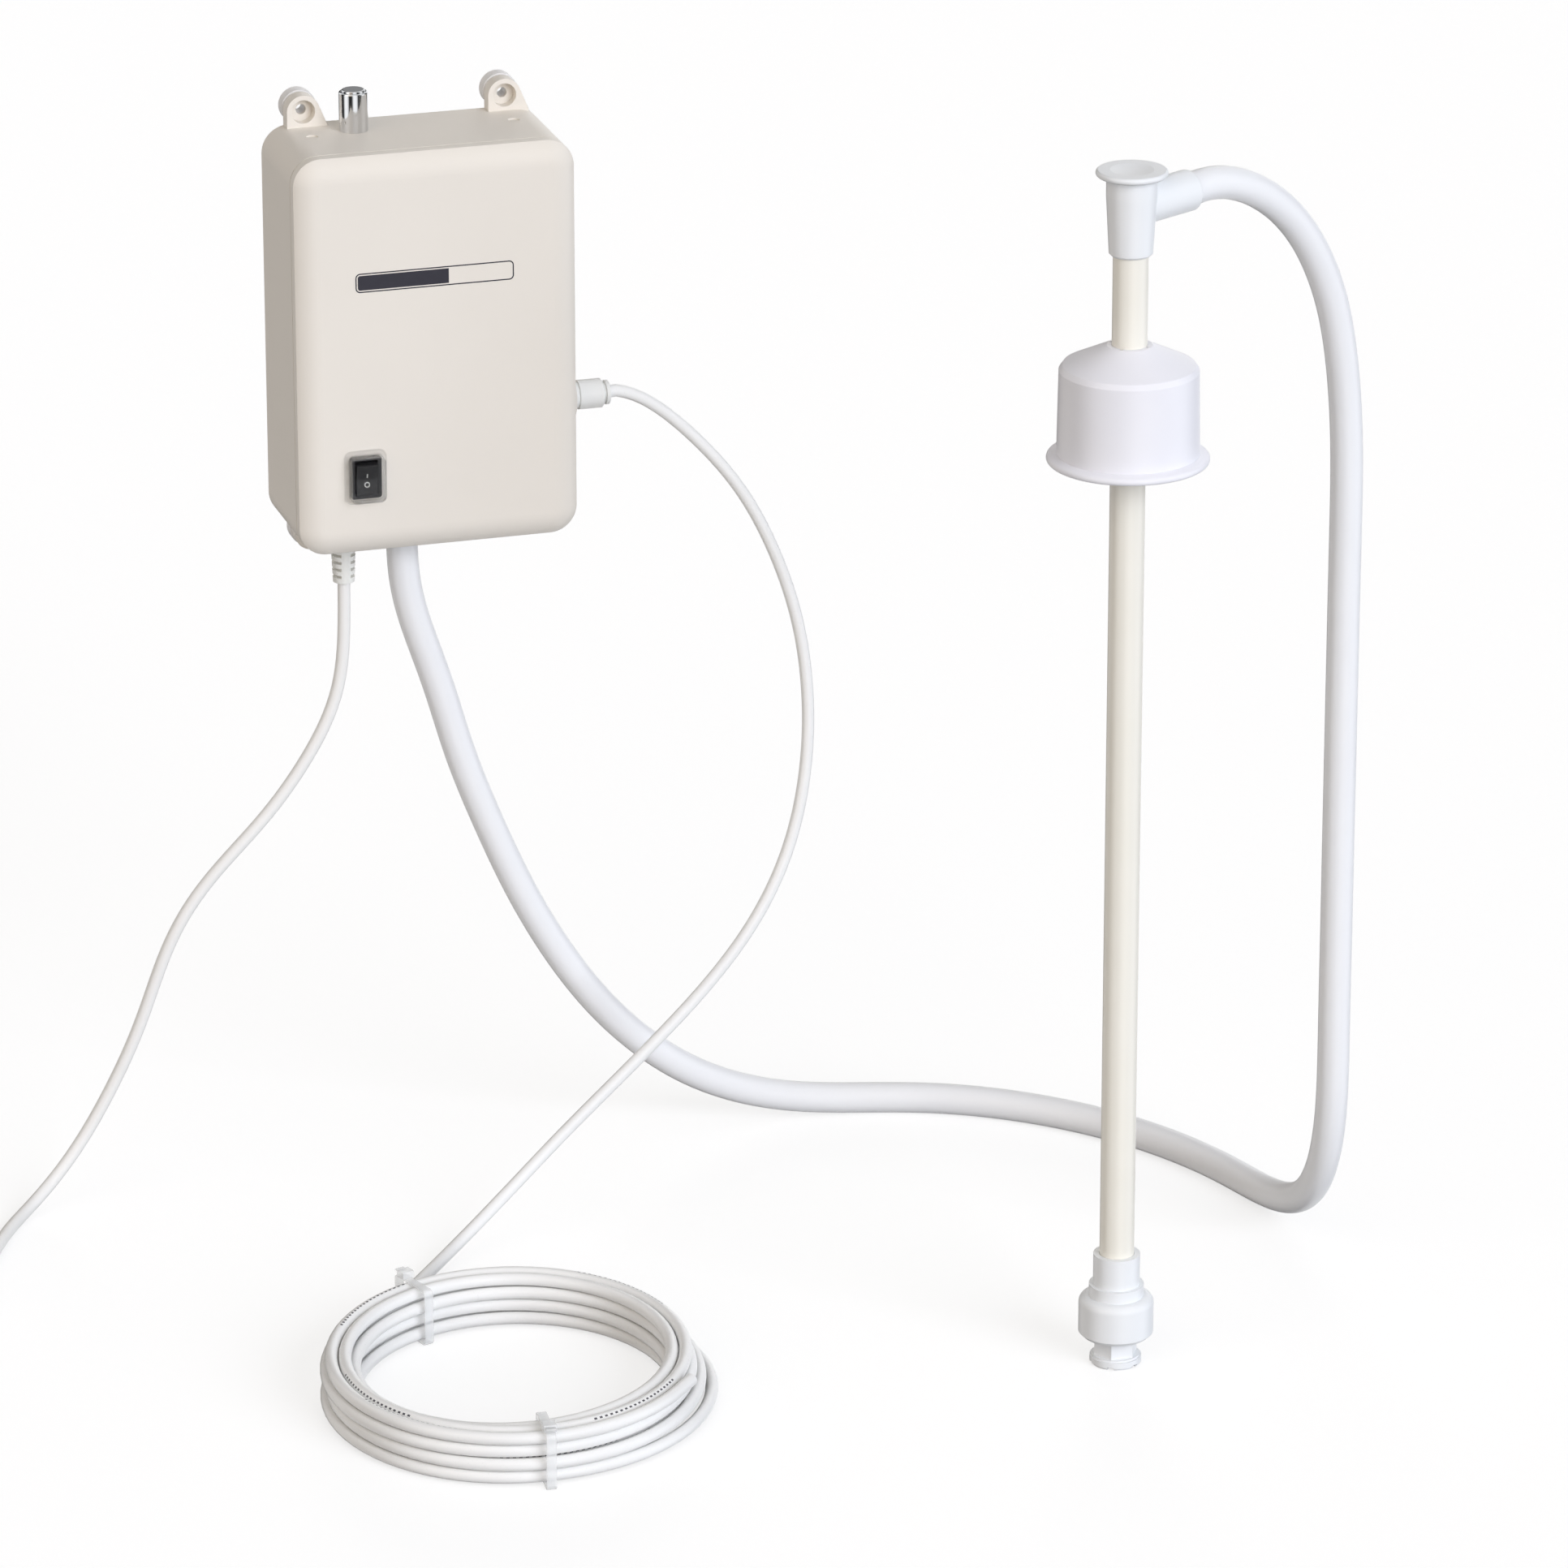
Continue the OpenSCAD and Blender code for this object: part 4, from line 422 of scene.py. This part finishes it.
def makePowerCord(c):
    x = middle("cord_gland").x
    end = bottomZ - c["glandLength"]
    start = [(x, pumpY, z) for z in (bottomZ + c["startInside"], end, end - c["exitRun"])]
    path = runToCoil(c, start)
    obj = sweptMesh("power_cord_form", path, c["diameter"] / 2, c["sides"])
    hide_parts("power_cord", "power_cord_coil")
    print("power cord:", round(routeLength(path), 3), "m")
    return obj


coilTieForm = makeTies("coil_ties", coilTies, outletTube["coil"])
cordTieForm = makeTies("cord_tie", cordTie, powerCord["coil"])
hoseForm = makeHose(hose)
tubeForm = makeOutletTube(outletTube)
cordForm = makePowerCord(powerCord)

# Springs: round wire, wound to the room that each has
springs = {
    "reset_spring": {"wire": 0.0008, "turns": 4, "joint": "reset_press", "keep": 0.71, "fixedAtTop": False,
                     "sides": 12, "stepsPerTurn": 40},
    "check_spring": {"wire": 0.0008, "turns": 4, "joint": "check_valve", "keep": 0.63, "fixedAtTop": True,
                     "sides": 12, "stepsPerTurn": 40},
}


def makeSpring(node, s):
    low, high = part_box(node)
    centre = (low + high) / 2
    reach = (high.x - low.x - s["wire"]) / 2
    steps = s["stepsPerTurn"] * s["turns"]
    path = []
    for i in range(steps + 1):
        share = i / steps
        angle = 2 * math.pi * s["turns"] * share
        rise = low.z + s["wire"] / 2 + (high.z - low.z - s["wire"]) * share
        path.append(Vector((centre.x + reach * math.cos(angle), centre.y + reach * math.sin(angle), rise)))
    obj = sweptMesh(node + "_form", path, s["wire"] / 2, s["sides"])
    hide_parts(node)
    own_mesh(obj)
    return obj


springForms = [makeSpring(node, s) for node, s in springs.items()]
print("springs wound")

# Materials


def linear(hexColour):
    values = [int(hexColour[i:i + 2], 16) / 255 for i in (1, 3, 5)]
    return tuple(v / 12.92 if v <= 0.04045 else ((v + 0.055) / 1.055) ** 2.4 for v in values) + (1.0,)


def perMetre(millimetres):
    return 1000.0 / millimetres


def addNode(tree, kind, settings=None, links=None):
    node = tree.nodes.new(kind)
    for key, value in (settings or {}).items():
        if isinstance(key, int) or key in node.inputs:
            node.inputs[key].default_value = value
        else:
            setattr(node, key, value)
    for key, source in (links or {}).items():
        tree.links.new(source, node.inputs[key])
    return node


surface = {"patchDetail": 3.0, "grainDetail": 4.0, "edgeSamples": 4, "wallFrom": 0.95, "wallTo": 0.4,
           "grainDepth": 0.0001}  # metres of relief for each mm of grain


# One base for all finishes: two close colours in soft patches, a grain that stirs the gloss and the surface,
# and edges that are rounded to the eye by the radius that the mould or the tool leaves
def finish(name, f):
    material = bpy.data.materials.new(name)
    material.use_nodes = True
    tree = material.node_tree
    shader = tree.nodes["Principled BSDF"]
    for key, value in f.get("sockets", {}).items():
        shader.inputs[key].default_value = value
    shader.inputs["Subsurface Radius"].default_value = (1.0, 1.0, 1.0)  # milky: all colours alike
    place = addNode(tree, "ShaderNodeTexCoord")
    patches = addNode(tree, "ShaderNodeTexNoise",
                      {"Scale": perMetre(f["patchMm"]), "Detail": surface["patchDetail"]},
                      {"Vector": place.outputs["Object"]})
    tint = addNode(tree, "ShaderNodeMix", {"data_type": "RGBA", 6: linear(f["colours"][0]),
                                           7: linear(f["colours"][1])}, {0: patches.outputs["Fac"]})
    colour = printed(tree, tint.outputs[2], f["print"]) if "print" in f else tint.outputs[2]
    tree.links.new(colour, shader.inputs["Base Color"])
    grain = addNode(tree, "ShaderNodeTexNoise",
                    {"Scale": perMetre(f["grainMm"]), "Detail": surface["grainDetail"]},
                    {"Vector": place.outputs["Object"]})
    low, high = f["roughness"]
    gloss = addNode(tree, "ShaderNodeMapRange", {"To Min": low, "To Max": high},
                    {"Value": grain.outputs["Fac"]})
    tree.links.new(gloss.outputs["Result"], shader.inputs["Roughness"])
    bump = addNode(tree, "ShaderNodeBump",
                   {"Strength": f["bump"], "Distance": f["grainMm"] * surface["grainDepth"]},
                   {"Height": grain.outputs["Fac"]})
    if "walls" in f:  # a skin that is thin in front and stands deeper at its side walls
        shape = addNode(tree, "ShaderNodeNewGeometry")
        turn = addNode(tree, "ShaderNodeSeparateXYZ", None, {0: shape.outputs["True Normal"]})
        facing = addNode(tree, "ShaderNodeMath", {"operation": "ABSOLUTE"}, {0: turn.outputs[1]})
        haze = addNode(tree, "ShaderNodeMapRange",
                       {"From Min": surface["wallFrom"], "From Max": surface["wallTo"],
                        "To Min": f["walls"][0], "To Max": f["walls"][1]}, {"Value": facing.outputs[0]})
        tree.links.new(haze.outputs["Result"], shader.inputs["Alpha"])
    if "edgeMm" in f:
        edge = addNode(tree, "ShaderNodeBevel",
                       {"samples": surface["edgeSamples"], "Radius": f["edgeMm"] / 1000})
        tree.links.new(edge.outputs["Normal"], bump.inputs["Normal"])
    tree.links.new(bump.outputs["Normal"], shader.inputs["Normal"])
    return material


# Broken line of plain length ticks, in groups, along a tube that carries its own distance and turn
def printed(tree, base, p):
    place = addNode(tree, "ShaderNodeAttribute", {"attribute_name": "printPlace"})
    parts = addNode(tree, "ShaderNodeSeparateXYZ", None, {0: place.outputs["Vector"]})
    line = addNode(tree, "ShaderNodeMath", {"operation": "LESS_THAN", 1: p["line"]}, {0: parts.outputs[1]})
    begun = addNode(tree, "ShaderNodeMath", {"operation": "GREATER_THAN", 1: p["fromMm"] / 1000},
                    {0: parts.outputs[0]})
    mask = addNode(tree, "ShaderNodeMath", {"operation": "MULTIPLY"},
                   {0: line.outputs[0], 1: begun.outputs[0]})
    for length, share in ((p["tickMm"], p["tickShare"]), (p["groupMm"], p["groupShare"])):
        count = addNode(tree, "ShaderNodeMath", {"operation": "MULTIPLY", 1: perMetre(length)},
                        {0: parts.outputs[0]})
        turn = addNode(tree, "ShaderNodeMath", {"operation": "FRACT"}, {0: count.outputs[0]})
        inked = addNode(tree, "ShaderNodeMath", {"operation": "LESS_THAN", 1: share}, {0: turn.outputs[0]})
        mask = addNode(tree, "ShaderNodeMath", {"operation": "MULTIPLY"},
                       {0: mask.outputs[0], 1: inked.outputs[0]})
    mixed = addNode(tree, "ShaderNodeMix", {"data_type": "RGBA", 7: linear(p["ink"])},
                    {0: mask.outputs[0], 6: base})
    return mixed.outputs[2]


# Moulded and extruded grains are finer than this: they are drawn as coarse as they need to show
finishes = {
    # Moulded ABS from a spark-eroded tool: ivory, satin, with a fine even grain
    "ivory_abs": {"colours": ("#eae4db", "#e6e0d7"), "patchMm": 60, "grainMm": 0.7, "bump": 0.25,
                  "edgeMm": 0.3, "roughness": (0.40, 0.52),
                  "sockets": {"IOR": 1.54, "Subsurface Weight": 0.1, "Subsurface Scale": 0.002}},
    # Zinc plated steel: cloudy grey plate with a faint cool cast
    "zinc_steel": {"colours": ("#b9bdc1", "#a9abac"), "patchMm": 6, "grainMm": 0.5, "bump": 0.15,
                   "roughness": (0.28, 0.42), "sockets": {"Metallic": 1.0}},
    # Moulded translucent rubber: milky white and dull, with a dusty skin
    "grey_rubber": {"colours": ("#eeedec", "#e5e3e2"), "patchMm": 12, "grainMm": 0.6, "bump": 0.3,
                    "roughness": (0.50, 0.65), "sockets": {"IOR": 1.52, "Subsurface Weight": 0.4,
                                                           "Subsurface Scale": 0.004}},
    # Moulded glass-filled nylon: near black, with the grey flow of the glass
    "black_nylon": {"colours": ("#232325", "#2b2b2d"), "patchMm": 10, "grainMm": 0.5, "bump": 0.25,
                    "edgeMm": 0.3, "roughness": (0.34, 0.46), "sockets": {"IOR": 1.53}},
    # Polished polycarbonate: deep black with a clean gloss
    "black_rocker": {"colours": ("#1b1b1d", "#222224"), "patchMm": 10, "grainMm": 0.8, "bump": 0.05,
                     "edgeMm": 0.4, "roughness": (0.22, 0.30), "sockets": {"IOR": 1.58}},
    # Clear silicone, moulded: a see-through skin with soft highlights and a slight haze
    "clear_silicone": {"colours": ("#eceeed", "#e4e7e6"), "patchMm": 8, "grainMm": 1.5, "bump": 0.05,
                       "edgeMm": 0.4, "roughness": (0.06, 0.12),
                       "walls": (0.05, 0.42), "sockets": {"IOR": 1.41, "Transmission Weight": 1.0}},
    # Chrome plate on brass: bright, with the faint lines of the buffing wheel
    "chrome": {"colours": ("#e6e7e9", "#dcdee1"), "patchMm": 4, "grainMm": 0.6, "bump": 0.03, "edgeMm": 0.4,
               "roughness": (0.05, 0.11), "sockets": {"Metallic": 1.0}},
    # Drawn spring wire: bright grey with fine streaks
    "spring_steel": {"colours": ("#b4b6b8", "#9fa1a3"), "patchMm": 2, "grainMm": 0.2, "bump": 0.1,
                     "roughness": (0.22, 0.34), "sockets": {"Metallic": 1.0}},
    # Moulded acetal: white, waxy and slightly see-through at its edges
    "white_acetal": {"colours": ("#f0f0ee", "#ebebe8"), "patchMm": 14, "grainMm": 0.9, "bump": 0.08,
                     "edgeMm": 0.3, "roughness": (0.26, 0.36),
                     "sockets": {"IOR": 1.48, "Subsurface Weight": 0.15, "Subsurface Scale": 0.002}},
    # Moulded nitrile rubber: dull black with a soft skin
    "black_rubber": {"colours": ("#1e1e1e", "#262625"), "patchMm": 8, "grainMm": 0.5, "bump": 0.3,
                     "roughness": (0.58, 0.72), "sockets": {"IOR": 1.52}},
    # Moulded nylon, white and satin
    "white_nylon": {"colours": ("#efefeb", "#e9e9e4"), "patchMm": 12, "grainMm": 0.6, "bump": 0.15,
                    "roughness": (0.38, 0.48), "sockets": {"IOR": 1.53}},
    # Sintered ferrite: charcoal, with a stony grain
    "ferrite": {"colours": ("#48484a", "#3c3c3f"), "patchMm": 4, "grainMm": 0.4, "bump": 0.4,
                "roughness": (0.55, 0.75), "sockets": {"IOR": 1.9}},
    # Pressed carbon: soft black with a graphite sheen
    "carbon": {"colours": ("#2c2c2d", "#363637"), "patchMm": 2, "grainMm": 0.3, "bump": 0.3,
               "roughness": (0.40, 0.60), "sockets": {"IOR": 1.6}},
    # Enamelled copper wire over laminated steel: warm, with the ribs of its turns
    "copper_winding": {"colours": ("#b5693c", "#9c5630"), "patchMm": 2, "grainMm": 0.5, "bump": 0.5,
                       "roughness": (0.25, 0.40), "sockets": {"Metallic": 1.0}},
    # Ground bearing steel: smooth and bright
    "bearing_steel": {"colours": ("#c9cbcd", "#babdbf"), "patchMm": 3, "grainMm": 0.3, "bump": 0.05,
                      "roughness": (0.12, 0.22), "sockets": {"Metallic": 1.0}},
    # Undyed nylon: warm and cloudy
    "natural_nylon": {"colours": ("#e2d9c3", "#d8cdb4"), "patchMm": 9, "grainMm": 0.6, "bump": 0.12,
                      "roughness": (0.36, 0.48), "sockets": {"IOR": 1.53, "Subsurface Weight": 0.2,
                                                             "Subsurface Scale": 0.002}},
    # Moulded phenolic: brown, with darker filler
    "brown_phenolic": {"colours": ("#5b3d28", "#4a301f"), "patchMm": 2.5, "grainMm": 0.4, "bump": 0.15,
                       "roughness": (0.34, 0.46), "sockets": {"IOR": 1.6}},
    # Lacquered circuit board: deep green under a thin gloss
    "green_board": {"colours": ("#2f6b3c", "#285f35"), "patchMm": 7, "grainMm": 0.6, "bump": 0.12,
                    "roughness": (0.28, 0.40), "sockets": {"IOR": 1.55}},
    # Extruded PVC pipe: cream and satin
    "cream_plastic": {"colours": ("#f6f3ea", "#f1eee3"), "patchMm": 30, "grainMm": 0.8, "bump": 0.08,
                      "roughness": (0.30, 0.40), "sockets": {"IOR": 1.54}},
    # Moulded polyethylene: white with a faint violet cast, waxy
    "white_polyethylene": {"colours": ("#f4f4fa", "#f0f0f7"), "patchMm": 25, "grainMm": 0.9, "bump": 0.1,
                           "edgeMm": 0.5, "roughness": (0.32, 0.42),
                           "sockets": {"IOR": 1.52, "Subsurface Weight": 0.1, "Subsurface Scale": 0.003}},
    # Punched stainless sheet: pale grey with a rolled sheen
    "stainless_mesh": {"colours": ("#bcbfc2", "#aeb1b4"), "patchMm": 3, "grainMm": 0.3, "bump": 0.1,
                       "roughness": (0.22, 0.34), "sockets": {"Metallic": 1.0}},
    # Extruded silicone hose: milky, with soft gloss
    "clear_hose": {"colours": ("#f4f5f7", "#eff0f3"), "patchMm": 40, "grainMm": 1.2, "bump": 0.05,
                   "roughness": (0.30, 0.40), "sockets": {"IOR": 1.42, "Subsurface Weight": 0.2,
                                                          "Subsurface Scale": 0.004}},
    # Extruded polyethylene tube: white, waxy, a little see-through
    "white_tube": {"colours": ("#f7f7f6", "#f2f2f1"), "patchMm": 30, "grainMm": 0.9, "bump": 0.05,
                   "roughness": (0.24, 0.34),
                   "print": {"ink": "#57565c", "line": -0.975, "tickMm": 3.0, "tickShare": 0.5,
                             "groupMm": 150, "groupShare": 0.4, "fromMm": 780},
                   "sockets": {"IOR": 1.51}},
    # Extruded soft PVC: white, satin
    "white_cord": {"colours": ("#f3f2f0", "#eeedea"), "patchMm": 25, "grainMm": 0.6, "bump": 0.1,
                   "roughness": (0.36, 0.46), "sockets": {"IOR": 1.53}},
    # Clear nylon strap: hazy, with bright edges
    "clear_tie": {"colours": ("#fafbfc", "#f3f5f6"), "patchMm": 6, "grainMm": 0.8, "bump": 0.08,
                  "edgeMm": 0.3, "roughness": (0.16, 0.26), "sockets": {"IOR": 1.53, "Alpha": 0.42}},
    # Stamped brass: yellow and bright
    "brass": {"colours": ("#d6bd7c", "#cab06d"), "patchMm": 3, "grainMm": 0.3, "bump": 0.06,
              "roughness": (0.16, 0.26), "sockets": {"Metallic": 1.0}},
    # Moulded ABS, cool white and satin
    "white_abs": {"colours": ("#f3f5f7", "#eef1f4"), "patchMm": 30, "grainMm": 0.8, "bump": 0.1,
                  "edgeMm": 0.4, "roughness": (0.34, 0.44), "sockets": {"IOR": 1.54}},
    # Pad-printed ink: flat and slightly worn
    "black_ink": {"colours": ("#2b2a33", "#33323b"), "patchMm": 5, "grainMm": 0.4, "bump": 0.1,
                  "roughness": (0.45, 0.60), "sockets": {"IOR": 1.5}},
    "white_ink": {"colours": ("#dcdcd8", "#cfcfca"), "patchMm": 3, "grainMm": 0.4, "bump": 0.1,
                  "roughness": (0.45, 0.60), "sockets": {"IOR": 1.5}},
}
materials = {name: finish(name, f) for name, f in finishes.items()}


def dress(obj, material):
    obj.data.materials.clear()
    obj.data.materials.append(material)


slotOf = {row["node"]: row["material_slot"] for row in frame["record"]["subparts"]}
for name, obj in nodes.items():
    dress(obj, materials[slotOf[name]])
dress(hoseForm, materials["clear_hose"])
dress(tubeForm, materials["white_tube"])
dress(cordForm, materials["white_cord"])
for obj in (coilTieForm, cordTieForm):
    dress(obj, materials["clear_tie"])
for obj in springForms:
    dress(obj, materials["spring_steel"])
print("materials:", len(materials))

# Marks and painted shade: thin films laid on the face below them, from the front or, with facing 1, from
# behind


rayRoom = 0.01  # rays start this far off the piece


def layOn(name, outline, faces, node, body, m):
    target = nodes[node].data
    tree = BVHTree.FromPolygons([v.co for v in target.vertices], [p.vertices for p in target.polygons])
    facing = m.get("facing", -1)
    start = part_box(node)[0].y - rayRoom if facing < 0 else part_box(node)[1].y + rayRoom
    verts = []
    for x, z in outline:
        hit = tree.ray_cast(Vector((x, start, z)), Vector((0, -facing, 0)))[0]
        verts.append(hit + Vector((0, facing * m["lift"], 0)))
    data = bpy.data.meshes.new(name)
    data.from_pydata(verts, [], faces)
    obj = bpy.data.objects.new(name, data)
    bpy.context.scene.collection.objects.link(obj)
    film = obj.modifiers.new("film", "SOLIDIFY")
    film.thickness = m["film"]
    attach(obj, body)
    return obj


# Faces between two loops of as many points
def ringFaces(count):
    return [(k, (k + 1) % count, count + (k + 1) % count, count + k) for k in range(count)]


rockerMarks = {"ringRise": -0.0029, "ringOuter": 0.0014, "ringInner": 0.0010, "barRise": 0.0019,
               "barWidth": 0.0004, "barHeight": 0.0022, "sides": 32, "lift": 0.00008, "film": 0.00006}


def makeRockerMarks(m):
    spot = middle("switch_rocker")
    outline = []
    for reach in (m["ringOuter"], m["ringInner"]):
        for k in range(m["sides"]):
            a = 2 * math.pi * k / m["sides"]
            outline.append((spot.x + reach * math.cos(a), spot.z + m["ringRise"] + reach * math.sin(a)))
    ring = layOn("rocker_off_mark", outline, ringFaces(m["sides"]), "switch_rocker", "rocker", m)
    half = m["barWidth"] / 2
    low = spot.z + m["barRise"] - m["barHeight"] / 2
    high = low + m["barHeight"]
    corners = [(spot.x - half, low), (spot.x + half, low), (spot.x + half, high), (spot.x - half, high)]
    bar = layOn("rocker_on_mark", corners, [(0, 1, 2, 3)], "switch_rocker", "rocker", m)
    for obj in (ring, bar):
        dress(obj, materials["white_ink"])


# Two-tone strip on the cover, with no words: a thin outline, and a dark field on its left
strip = {"left": -0.0424, "right": 0.039, "low": 0.034, "high": 0.044, "darkTo": 0.0055, "corner": 0.0024,
         "line": 0.0006, "cornerSteps": 8, "lift": 0.00006, "film": 0.00005}


def roundedLoop(left, right, low, high, leftCorner, rightCorner, steps):
    spots = ((right, low, -1, 1, rightCorner, -90), (right, high, -1, -1, rightCorner, 0),
             (left, high, 1, -1, leftCorner, 90), (left, low, 1, 1, leftCorner, 180))
    loop = []
    for x, z, inX, inZ, r, start in spots:
        for k in range(steps + 1):
            a = math.radians(start + 90 * k / steps)
            loop.append((x + inX * r + r * math.cos(a), z + inZ * r + r * math.sin(a)))
    return loop


def makeStrip(s):
    steps = s["cornerSteps"]
    outer = roundedLoop(s["left"], s["right"], s["low"], s["high"], s["corner"], s["corner"], steps)
    d = s["line"]
    tight = s["corner"] - d
    inner = roundedLoop(s["left"] + d, s["right"] - d, s["low"] + d, s["high"] - d, tight, tight, steps)
    outline = layOn("strip_outline", outer + inner, ringFaces(len(outer)), "front_cover", "pump_unit", s)
    inset = 2 * d  # leaves a line's width clear inside the outline
    crisp = d / 4
    field = roundedLoop(s["left"] + inset, s["darkTo"], s["low"] + inset, s["high"] - inset,
                        tight - d, crisp, steps)
    dark = layOn("strip_field", field, [tuple(range(len(field)))], "front_cover", "pump_unit", s)
    for obj in (outline, dark):
        dress(obj, materials["black_ink"])


# Painted shade of cross recesses in the heads of the cover's screws: dark crosses laid on the flat heads,
# where a real recess would lie in shade
screwRecessShade = {"inset": 0.003, "reach": 0.0019, "half": 0.0004, "facing": 1, "lift": 0.00005, "film": 0.00004}


def makeScrewRecessShade(s):
    low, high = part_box("cover_screws")
    head = s["inset"]
    outline = []
    faces = []
    arm, half = s["reach"], s["half"]
    shape = ((-half, -arm), (half, -arm), (half, -half), (arm, -half), (arm, half), (half, half),
             (half, arm), (-half, arm), (-half, half), (-arm, half), (-arm, -half), (-half, -half))
    for x in (low.x + head, high.x - head):
        for z in (low.z + head, high.z - head):
            first = len(outline)
            outline.extend((x + dx, z + dz) for dx, dz in shape)
            faces.append(tuple(reversed(range(first, first + len(shape)))))
    obj = layOn("screw_recess_painted_shade", outline, faces, "cover_screws", "pump_unit", s)
    # The black ink film here paints the shade of a recess, not print
    dress(obj, materials["black_ink"])


makeRockerMarks(rockerMarks)
makeStrip(strip)
makeScrewRecessShade(screwRecessShade)
print("marks laid")

# Stage: a white floor, soft light from the front right
floor = {"size": 40.0, "paper": "#b4b4b4", "glow": 0.66}


def makeFloor(f):
    data = bpy.data.meshes.new("floor")
    h = f["size"] / 2
    data.from_pydata([(-h, -h, floorZ), (h, -h, floorZ), (h, h, floorZ), (-h, h, floorZ)], [], [(0, 1, 2, 3)])
    obj = bpy.data.objects.new("floor", data)
    bpy.context.scene.collection.objects.link(obj)
    obj.visible_glossy = False  # polished metal mirrors the room
    material = bpy.data.materials.new("white_paper")
    material.use_nodes = True
    tree = material.node_tree
    tree.nodes.remove(tree.nodes["Principled BSDF"])
    path = addNode(tree, "ShaderNodeLightPath")
    seen = addNode(tree, "ShaderNodeMath", {"operation": "MAXIMUM"},
                   {0: path.outputs["Is Camera Ray"], 1: path.outputs["Is Glossy Ray"]})
    through = addNode(tree, "ShaderNodeMath", {"operation": "MAXIMUM"},
                      {0: seen.outputs[0], 1: path.outputs["Is Transmission Ray"]})
    lift = addNode(tree, "ShaderNodeMath", {"operation": "MULTIPLY", 1: f["glow"]}, {0: through.outputs[0]})
    paper = addNode(tree, "ShaderNodeBsdfDiffuse", {"Color": linear(f["paper"])})
    glow = addNode(tree, "ShaderNodeEmission", {"Color": linear("#ffffff")}, {"Strength": lift.outputs[0]})
    both = addNode(tree, "ShaderNodeAddShader", None, {0: paper.outputs[0], 1: glow.outputs[0]})
    tree.links.new(both.outputs[0], tree.nodes["Material Output"].inputs["Surface"])
    dress(obj, material)


lamps = {
    "key": {"from": (0.36, -0.86, 0.36), "spread": 40, "gloss": False, "power": 2.25, "colour": "#f2f6ff"},
    "fill": {"from": (-0.70, -0.55, 0.45), "spread": 60, "gloss": True, "power": 0.65, "colour": "#ffecd6"},
    "back": {"from": (0.30, 0.95, 0.10), "spread": 30, "gloss": False, "power": 1.4, "colour": "#fffaf2"},
}


def makeLamp(name, l):
    data = bpy.data.lights.new(name, "SUN")
    data.angle = math.radians(l["spread"])
    data.energy = l["power"]
    data.color = linear(l["colour"])[:3]
    obj = bpy.data.objects.new(name, data)
    bpy.context.scene.collection.objects.link(obj)
    obj.rotation_mode = "QUATERNION"
    obj.rotation_quaternion = (-Vector(l["from"])).to_track_quat("-Z", "Y")
    obj.visible_glossy = l["gloss"]


# The room: even pale light, white to the eye, and for gloss a ring of soft boxes
# with darker gaps between them, under a pale ceiling
studio = {"light": 0.36, "seen": 1.0, "tint": "#ffffff", "boxes": 5, "boxBlend": 0.6, "gap": 0.03,
          "box": 1.15, "ceiling": 0.8, "ceilingFrom": 0.75, "ceilingTo": 0.9}


def makeWorld(s):
    world = bpy.data.worlds.new("studio")
    world.use_nodes = True
    tree = world.node_tree
    path = addNode(tree, "ShaderNodeLightPath")
    seen = addNode(tree, "ShaderNodeMath", {"operation": "MAXIMUM"},
                   {0: path.outputs["Is Camera Ray"], 1: path.outputs["Is Transmission Ray"]})
    level = addNode(tree, "ShaderNodeMapRange", {"To Min": s["light"], "To Max": s["seen"]},
                    {"Value": seen.outputs[0]})
    compass = addNode(tree, "ShaderNodeTexCoord")
    sweep = addNode(tree, "ShaderNodeTexGradient", {"gradient_type": "RADIAL"},
                    {"Vector": compass.outputs["Generated"]})
    turn = addNode(tree, "ShaderNodeMath", {"operation": "MULTIPLY", 1: 2 * math.pi * s["boxes"]},
                   {0: sweep.outputs["Fac"]})
    wave = addNode(tree, "ShaderNodeMath", {"operation": "SINE"}, {0: turn.outputs[0]})
    ring = addNode(tree, "ShaderNodeMapRange",
                   {"From Min": -s["boxBlend"], "From Max": s["boxBlend"],
                    "To Min": s["gap"], "To Max": s["box"]}, {"Value": wave.outputs[0]})
    rise = addNode(tree, "ShaderNodeSeparateXYZ", None, {0: compass.outputs["Generated"]})
    high = addNode(tree, "ShaderNodeMapRange", {"From Min": s["ceilingFrom"], "From Max": s["ceilingTo"]},
                   {"Value": rise.outputs[2]})
    dome = addNode(tree, "ShaderNodeMix", {"data_type": "FLOAT", 3: s["ceiling"]},
                   {0: high.outputs["Result"], 2: ring.outputs["Result"]})
    strength = addNode(tree, "ShaderNodeMix", {"data_type": "FLOAT"},
                       {0: path.outputs["Is Glossy Ray"], 2: level.outputs["Result"], 3: dome.outputs[0]})
    room = tree.nodes["Background"]
    room.inputs["Color"].default_value = linear(s["tint"])
    tree.links.new(strength.outputs[0], room.inputs["Strength"])
    bpy.context.scene.world = world


makeFloor(floor)
for name, l in lamps.items():
    makeLamp(name, l)
makeWorld(studio)
bpy.context.scene.view_settings.view_transform = "Standard"
print("stage lit")
